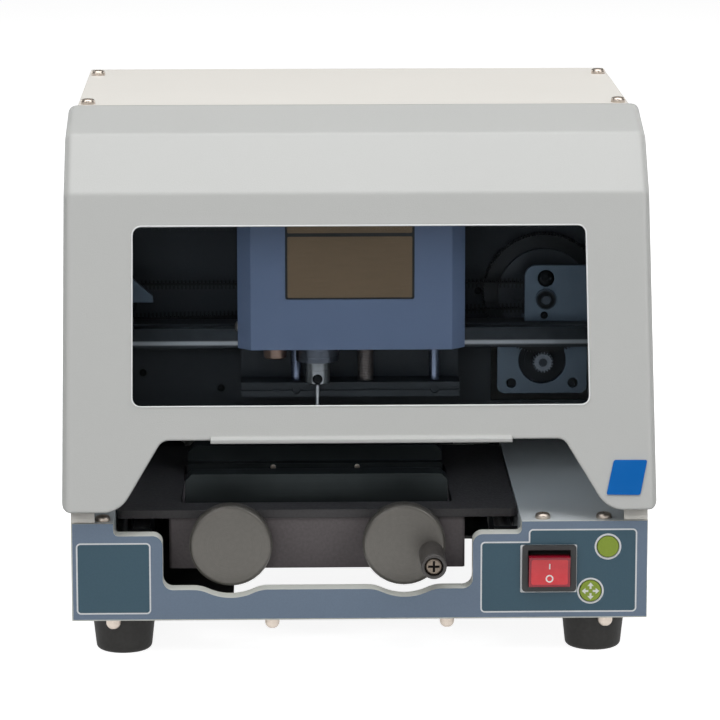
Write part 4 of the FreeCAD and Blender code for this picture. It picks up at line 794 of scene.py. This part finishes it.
# A dark magenta rim round the rocker's face is painted shade; inside it the face is red.
painted_shade_rim_width = Vector((0.0020, 0, 0.0014))
face_box = box_distance(tree, coords, rocker_center, rocker_half - painted_shade_rim_width, 0.0012)
inside_painted_shade_rim = sum_up(tree, "LESS_THAN", face_box, 0.0)
red = blend_colors(tree, depth_noise, srgb(226, 52, 62), srgb(206, 34, 46))
red = blend_colors(tree, inside_painted_shade_rim, srgb(150, 16, 40), red)
on_mark = rocker_center + Vector((0, 0, 0.0034))
off_mark = rocker_center - Vector((0, 0, 0.0042))
off_radius, mark_half_width = 0.0019, 0.0004
bar = box_distance(tree, coords, on_mark, (mark_half_width, 0, 0.0018), 0.0003)
circle = box_distance(tree, coords, off_mark, (off_radius, 0, off_radius), off_radius)
loop = sum_up(tree, "ABSOLUTE", circle)
marks = sum_up(tree, "MAXIMUM", sum_up(tree, "LESS_THAN", bar, 0.0),
               sum_up(tree, "LESS_THAN", loop, mark_half_width))
set_finish(tree, shader, blend_colors(tree, marks, red, srgb(238, 234, 232)),
           worn(tree, depth_noise, 0.12, 0.14))
raise_surface(tree, shader, depth_noise, 0.05, 0.0002, 0.0008)
dress(rocker_material, "rocker")


# The shift button and the jog pad: green moulded caps standing just proud of the film.
# The jog pad rocks four ways, shown by four white arrows.

button_green = powder_coat("button_green", srgb(138, 160, 44), 0.4, mottle=0.12, grain_scale=900.0)
dress(button_green, "shift_button", "jog_pad")
dress(powder_coat("gimbal_white", srgb(220, 220, 215), roughness=0.4), "jog_pivot")
arrow_white = powder_coat("arrow_white", srgb(226, 228, 224), roughness=0.45, mottle=0.05, soften=0)
arrow = bmesh.new()
jog_x, jog_z = axis_of("jog_pad")[0]
arrow_proud = 0.00008
arrow_depth = 0.0003
arrow_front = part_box("jog_pad")[0].y - arrow_proud
arrow_outline = [(-0.0006, 0.0013), (0.0006, 0.0013), (0.0006, 0.0030), (0.0019, 0.0030),
                 (0.0, 0.0052), (-0.0019, 0.0030), (-0.0006, 0.0030)]
for quarter in range(4):
    turn = Matrix.Rotation(quarter * math.pi / 2, 2)
    corners = [turn @ Vector(p) for p in arrow_outline]
    front = [arrow.verts.new((jog_x + c.x, arrow_front, jog_z + c.y)) for c in corners]
    back = [arrow.verts.new((jog_x + c.x, arrow_front + arrow_depth, jog_z + c.y)) for c in corners]
    arrow.faces.new(front)
    arrow.faces.new(back[::-1])
    for i in range(len(front)):
        j = (i + 1) % len(front)
        arrow.faces.new((front[i], back[i], back[j], front[j]))
add_piece("jog_arrows", closed(arrow, "jog_arrows", arrow_white), "jog_key")


# The electrics: circuit boards with green solder mask, a sheet-metal power supply and black rear sockets.
# They sit behind the bulkhead and the console, out of sight from the front.

board_material, tree, shader, coords = new_material("solder_mask")
upright = place(tree, "Mapping", Vector=coords, Rotation=(math.pi / 2, 0, 0))
tracks = place(tree, "TexBrick", Vector=upright.outputs[0], Scale=90.0, Mortar_Size=0.03,
               Color1=srgb(24, 84, 54), Color2=srgb(30, 98, 62), Mortar=srgb(60, 132, 84)).outputs
set_finish(tree, shader, tracks["Color"], worn(tree, tracks["Fac"], 0.2, 0.3))
dress(board_material, "button_board", "controller_board")
dress(turned_metal("supply_sheet", srgb(176, 178, 180), (1, 0, 0), 0.4, ring_scale=600.0), "power_supply")
dress(powder_coat("socket_black", srgb(40, 40, 42), 0.45, mottle=0.2, grain_scale=800.0), "rear_sockets")


# The hood: one folded sheet, powder coated a cooler grey, hinged on two shoulder screws at the top.
# A smoked acrylic pane sits behind its window, and a plain blue badge is stuck at the lower right.

dress(powder_coat("hood_grey", srgb(184, 185, 183), 0.36, mottle=0.04, soften=0.0018), "hood_shell")

pane_material, tree, shader, coords = new_material("smoked_acrylic")
haze = noise(tree, coords, 35.0, 3.0)
smoke = srgb(205, 211, 216)
hazy = blend_colors(tree, haze, smoke, srgb(201, 207, 212))
set_finish(tree, shader, hazy, sum_up(tree, "MULTIPLY", haze, 0.03))
fill(tree, shader, {"Transmission Weight": 1.0, "IOR": 1.3})
through = place(tree, "BsdfTransparent", Color=smoke)
choice = place(tree, "MixShader", Fac=place(tree, "LightPath").outputs["Is Shadow Ray"])
tree.links.new(shader.outputs[0], choice.inputs[1])
tree.links.new(through.outputs[0], choice.inputs[2])
tree.links.new(choice.outputs[0], tree.nodes["Material Output"].inputs["Surface"])
dress(pane_material, "window_pane")

hood_toe = Vector((0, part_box("hood_shell")[0].y, 0.0908))
hood_lean = math.radians(21.6)
hood_up = Vector((0, math.sin(hood_lean), math.cos(hood_lean)))


def on_hood(x, z):
    """Point on the hood's leaning front face at height z above the feet."""
    return hood_toe + Vector((x, 0, 0)) + hood_up * ((z - hood_toe.z) / hood_up.z)


# The window's cut edge is rounded over; a node tree runs its bead round the opening. The bead's lighter grey
# is a painted highlight along that edge.
window_center, window_half = 0.0012, 0.1352
window_low, window_high = 0.1492, 0.2505
window_corner = 0.005
bead_radius = 0.0005
bead_points = []
for sign_x, sign_z, turn_from in ((1, 1, 0.0), (-1, 1, 0.5), (-1, -1, 1.0), (1, -1, 1.5)):
    corner_x = window_center + sign_x * (window_half - window_corner)
    corner_z = (window_high - window_corner) if sign_z > 0 else (window_low + window_corner)
    for i in range(7):
        angle = math.pi * (turn_from + i / 12)
        bead_points.append(on_hood(corner_x + window_corner * math.cos(angle),
                                   corner_z + window_corner * math.sin(angle)))
tree, size, values = node_tree("window_bead_sweep", {"Bead Radius": bead_radius}, "Path")
section = step(tree, "CurvePrimitiveCircle", Resolution=10, Radius=size["Bead Radius"])
sweep = step(tree, "CurveToMesh", Curve=size["Path"], Profile_Curve=section["Curve"])
# The bead is painted lighter than the hood as a painted highlight on the rounded edge.
edge_highlight_grey = powder_coat("edge_highlight_grey", srgb(222, 224, 224), 0.25, mottle=0.03, soften=0)
bead_data = grow(tree, sweep[0], edge_highlight_grey, values, path_curve("window_bead_path", bead_points))
add_piece("window_bead", bead_data, "hood")

badge_material, tree, shader, coords = new_material("badge_blue")
sheen = noise(tree, coords, 60.0, 2.0)
set_finish(tree, shader, blend_colors(tree, sheen, srgb(2, 92, 168), srgb(8, 100, 178)),
           worn(tree, sheen, 0.1, 0.2))
badge_corner = 0.0012
badge_thickness = 0.0008
badge_corners = [on_hood(x, z) for x, z in (
    (0.1450, 0.0991), (0.1650, 0.0988), (0.1696, 0.1182), (0.1498, 0.1183))]
plate("badge_plate", badge_corners, badge_thickness, badge_material, badge_corner, "hood")


# Fasteners: nickel-plated pan-head screws on the cover and decks, bottom screws and hood pivots.
# Their domed heads are bright, with a darker cross recess.

nickel = turned_metal("bright_nickel", srgb(214, 202, 190), (0, 0, 1), roughness=0.28, ring_scale=900.0)
dress(nickel, "pan_screws", "bottom_screws", "hood_pivots")


# Small machine screws on the rear panel, bulkhead, gear bracket, head cover, spindle nose and rear jaw.
# They are domes in nickel plate or black oxide. Each has a cross recess, cut in one head that a node
# tree sets at every place, facing its way.

def set_screws(name, places, radius, dome, body, metal):
    """Screw heads at (spot, facing) pairs, made by a node tree and carried by a body."""
    points = bpy.data.meshes.new(name + "_points")
    points.from_pydata([spot for spot, facing in places], [], [])
    aim = points.attributes.new("aim", "FLOAT_VECTOR", "POINT")
    for i, (spot, facing) in enumerate(places):
        aim.data[i].vector = facing
    tree, size, values = node_tree(name + "_heads", {
        "Head Radius": radius, "Dome": (1.0, 1.0, dome),
        "Slot": (1.2 * radius, 0.3 * radius, 0.6 * dome * radius)}, "Places")
    ball = step(tree, "MeshUVSphere", Segments=20, Rings=12, Radius=size["Head Radius"])
    head = step(tree, "Transform", Geometry=ball["Mesh"], Scale=size["Dome"])
    bar = step(tree, "MeshCube", Size=size["Slot"])
    lifted = step(tree, "Transform", Geometry=bar["Mesh"], Translation=(0, 0, dome * radius))
    across = step(tree, "Transform", Geometry=lifted[0], Rotation=(0, 0, math.pi / 2))
    recess = step(tree, "MeshBoolean", {"operation": "DIFFERENCE"}, Mesh_1=head[0],
                  Mesh_2=[lifted[0], across[0]])
    aimed = step(tree, "InputNamedAttribute", {"data_type": "FLOAT_VECTOR"}, Name="aim")
    turn = tree.nodes.new("FunctionNodeAlignRotationToVector")
    turn.axis = "Z"
    tree.links.new(aimed["Attribute"], turn.inputs["Vector"])
    heads = step(tree, "InstanceOnPoints", Points=size["Places"], Rotation=turn.outputs["Rotation"],
                 Instance=recess["Mesh"])
    add_piece(name, grow(tree, heads[0], metal, values, points), body)


forward = (0, -1, 0)
backward = (0, 1, 0)
leftward = (-1, 0, 0)
black_oxide = turned_metal("black_oxide", srgb(44, 45, 46), (0, 1, 0), roughness=0.3, ring_scale=900.0)
rear_low, rear_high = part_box("rear_panel")
wall_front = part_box("bulkhead")[0].y
bracket_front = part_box("gear_bracket")[0].y
rear_inset, rear_rise = 0.009, 0.03
rear_places = []
for x in (rear_low.x + rear_inset, rear_high.x - rear_inset):
    for z in (rear_low.z + rear_rise, (rear_low.z + rear_high.z) / 2, rear_high.z - rear_rise):
        rear_places.append(((x, rear_high.y, z), backward))
set_screws("rear_panel_screws", rear_places, 0.003, 0.5, "base", nickel)
set_screws("bulkhead_screws", [
    ((-0.0835, wall_front, 0.1264), forward), ((-0.1327, wall_front, 0.1364), forward),
    ((0.079, wall_front, 0.188), forward), ((0.119, bracket_front + 0.002, 0.1768), forward)],
    0.0024, 0.5, "base", black_oxide)
gear_x, gear_z = axis_of("drive_gear")[0]
set_screws("bracket_screw", [((gear_x, bracket_front + 0.003, gear_z + 0.0132), forward)],
           0.0052, 0.4, "base", black_oxide)
set_screws("head_cover_screws", [
    ((cover_low.x, cover_high.y - 0.011, cover_low.z + rise), leftward) for rise in (0.0055, 0.0755)],
    0.0034, 0.65, "x_carriage", nickel)
nose_low, nose_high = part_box("cutter")
nose = (nose_low + nose_high) / 2
set_screws("nose_set_screw", [((nose.x, nose.y - 0.0060, 0.1492), forward)],
           0.0030, 0.3, "spindle", black_oxide)
jaw_low, jaw_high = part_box("rear_jaw")
set_screws("rear_jaw_screws", [
    ((x, jaw_low.y, jaw_high.z - 0.0117), forward) for x in (-0.0508, 0.0013)],
    0.0017, 0.3, "rear_vise_jaw", nickel)


# The drive shaft's ball bearing, pressed into the gear bracket's boss.
# Its black seal lies between a thin outer and inner race, turned as one ring.

bearing_profile = [(0.0032, 0.0), (0.0032, 0.0004), (0.0038, 0.0004), (0.0040, 0.0002), (0.0052, 0.0002),
                   (0.0054, 0.0005), (0.0062, 0.0005), (0.0062, 0.0)]
bearing = bmesh.new()
bearing_line = [bearing.verts.new((r, -y, 0)) for r, y in bearing_profile]
bearing_edges = [bearing.edges.new(pair) for pair in zip(bearing_line, bearing_line[1:] + bearing_line[:1])]
spin_round(bearing, bearing_line + bearing_edges, 48)
bmesh.ops.translate(bearing, verts=bearing.verts, vec=(gear_x, bracket_front, gear_z))
bearing_seal = ringed("bearing_seal", "drive_gear", srgb(30, 31, 33), srgb(66, 72, 78),
                      edge=0.0052, fade=0.0002, metallic=0.6, roughness=0.35)
add_piece("shaft_bearing", closed(bearing, "shaft_bearing", bearing_seal), "base")


# The floor and light of a plain studio: white floor that still takes a soft shadow,
# a broad lamp overhead, softer ones at the four corners and a small one in front.

floor_data = bpy.data.meshes.new("studio_floor")
reach = 12.0
floor_data.from_pydata([(-reach, -reach, 0), (reach, -reach, 0), (reach, reach, 0), (-reach, reach, 0)],
                       [], [(0, 1, 2, 3)])
floor = show("studio_floor", floor_data)
floor_material = bpy.data.materials.new("floor_white")
floor_material.use_nodes = True
tree = floor_material.node_tree
floor_shader = tree.nodes["Principled BSDF"]
fill(tree, floor_shader, {"Base Color": (0.5, 0.5, 0.5, 1), "Roughness": 0.9})
rays = place(tree, "LightPath").outputs
seen = sum_up(tree, "MAXIMUM", rays["Is Camera Ray"], rays["Is Transmission Ray"])
seen = sum_up(tree, "MAXIMUM", seen, rays["Is Glossy Ray"])
glow = place(tree, "Emission", Strength=sum_up(tree, "MULTIPLY", seen, 0.9))
both = tree.nodes.new("ShaderNodeAddShader")
tree.links.new(floor_shader.outputs[0], both.inputs[0])
tree.links.new(glow.outputs[0], both.inputs[1])
tree.links.new(both.outputs[0], tree.nodes["Material Output"].inputs["Surface"])
floor_data.materials.append(floor_material)

world = bpy.data.worlds.new("studio")
bpy.context.scene.world = world
world.use_nodes = True
tree = world.node_tree
background = tree.nodes["Background"]
background.inputs["Color"].default_value = (1, 1, 1, 1)
direction = place(tree, "TexCoord").outputs["Generated"]
dark_patch = (0.02, -0.84, 0.53)
facing = vector_step(tree, "DOT_PRODUCT", direction, dark_patch)
ramp = place(tree, "MapRange", Value=facing, From_Min=0.84, From_Max=0.96, To_Min=0.041, To_Max=0.003)
rays = place(tree, "LightPath").outputs
mirrored_only = sum_up(tree, "MAXIMUM", rays["Is Glossy Ray"], rays["Is Transmission Ray"])
soft_light = 0.0163
soft = sum_up(tree, "MAXIMUM", rays["Is Camera Ray"], soft_light)
level = tree.nodes.new("ShaderNodeMix")
tree.links.new(mirrored_only, level.inputs[0])
tree.links.new(soft, level.inputs[2])
tree.links.new(ramp.outputs[0], level.inputs[3])
tree.links.new(level.outputs[0], background.inputs["Strength"])


def lamp(name, place_at, look_at, size, power):
    """Square softbox at a point, turned towards another."""
    data = bpy.data.lights.new(name, "AREA")
    data.size = size
    data.energy = power
    made = show(name, data)
    made.location = place_at
    made.rotation_euler = (Vector(look_at) - Vector(place_at)).to_track_quat("-Z", "Y").to_euler()


lamp("overhead_lamp", (0.0, -0.2, 2.4), (0, 0, 0), 2.2, 54)
lamp("left_lamp", (-1.8, -1.6, 1.7), (0, -0.1, 0.15), 1.4, 16)
lamp("right_lamp", (1.8, -1.6, 1.7), (0, -0.1, 0.15), 1.4, 24)
lamp("front_lamp", (-0.4, -2.6, 0.85), (0, -0.1, 0.15), 0.7, 9)
lamp("rear_left_lamp", (-2.0, 1.9, 1.1), (0, 0.1, 0.15), 1.4, 14)
lamp("rear_right_lamp", (2.0, 1.9, 1.1), (0, 0.1, 0.15), 1.4, 14)


# The camera stands about 2.4 m in front, a little left of centre, and looks 11 degrees down.
# Its long lens shows the case almost square on.

camera_data = bpy.data.cameras.new("photo_camera")
camera_data.sensor_width = 36.0
camera_data.lens = 194.5
camera = show("photo_camera", camera_data)
camera.location = (-0.0516, -2.39195, 0.6136)
camera.rotation_euler = (math.radians(79.0), math.radians(0.047), math.radians(-1.34))
bpy.context.scene.camera = camera
bpy.context.scene.view_settings.view_transform = "Standard"
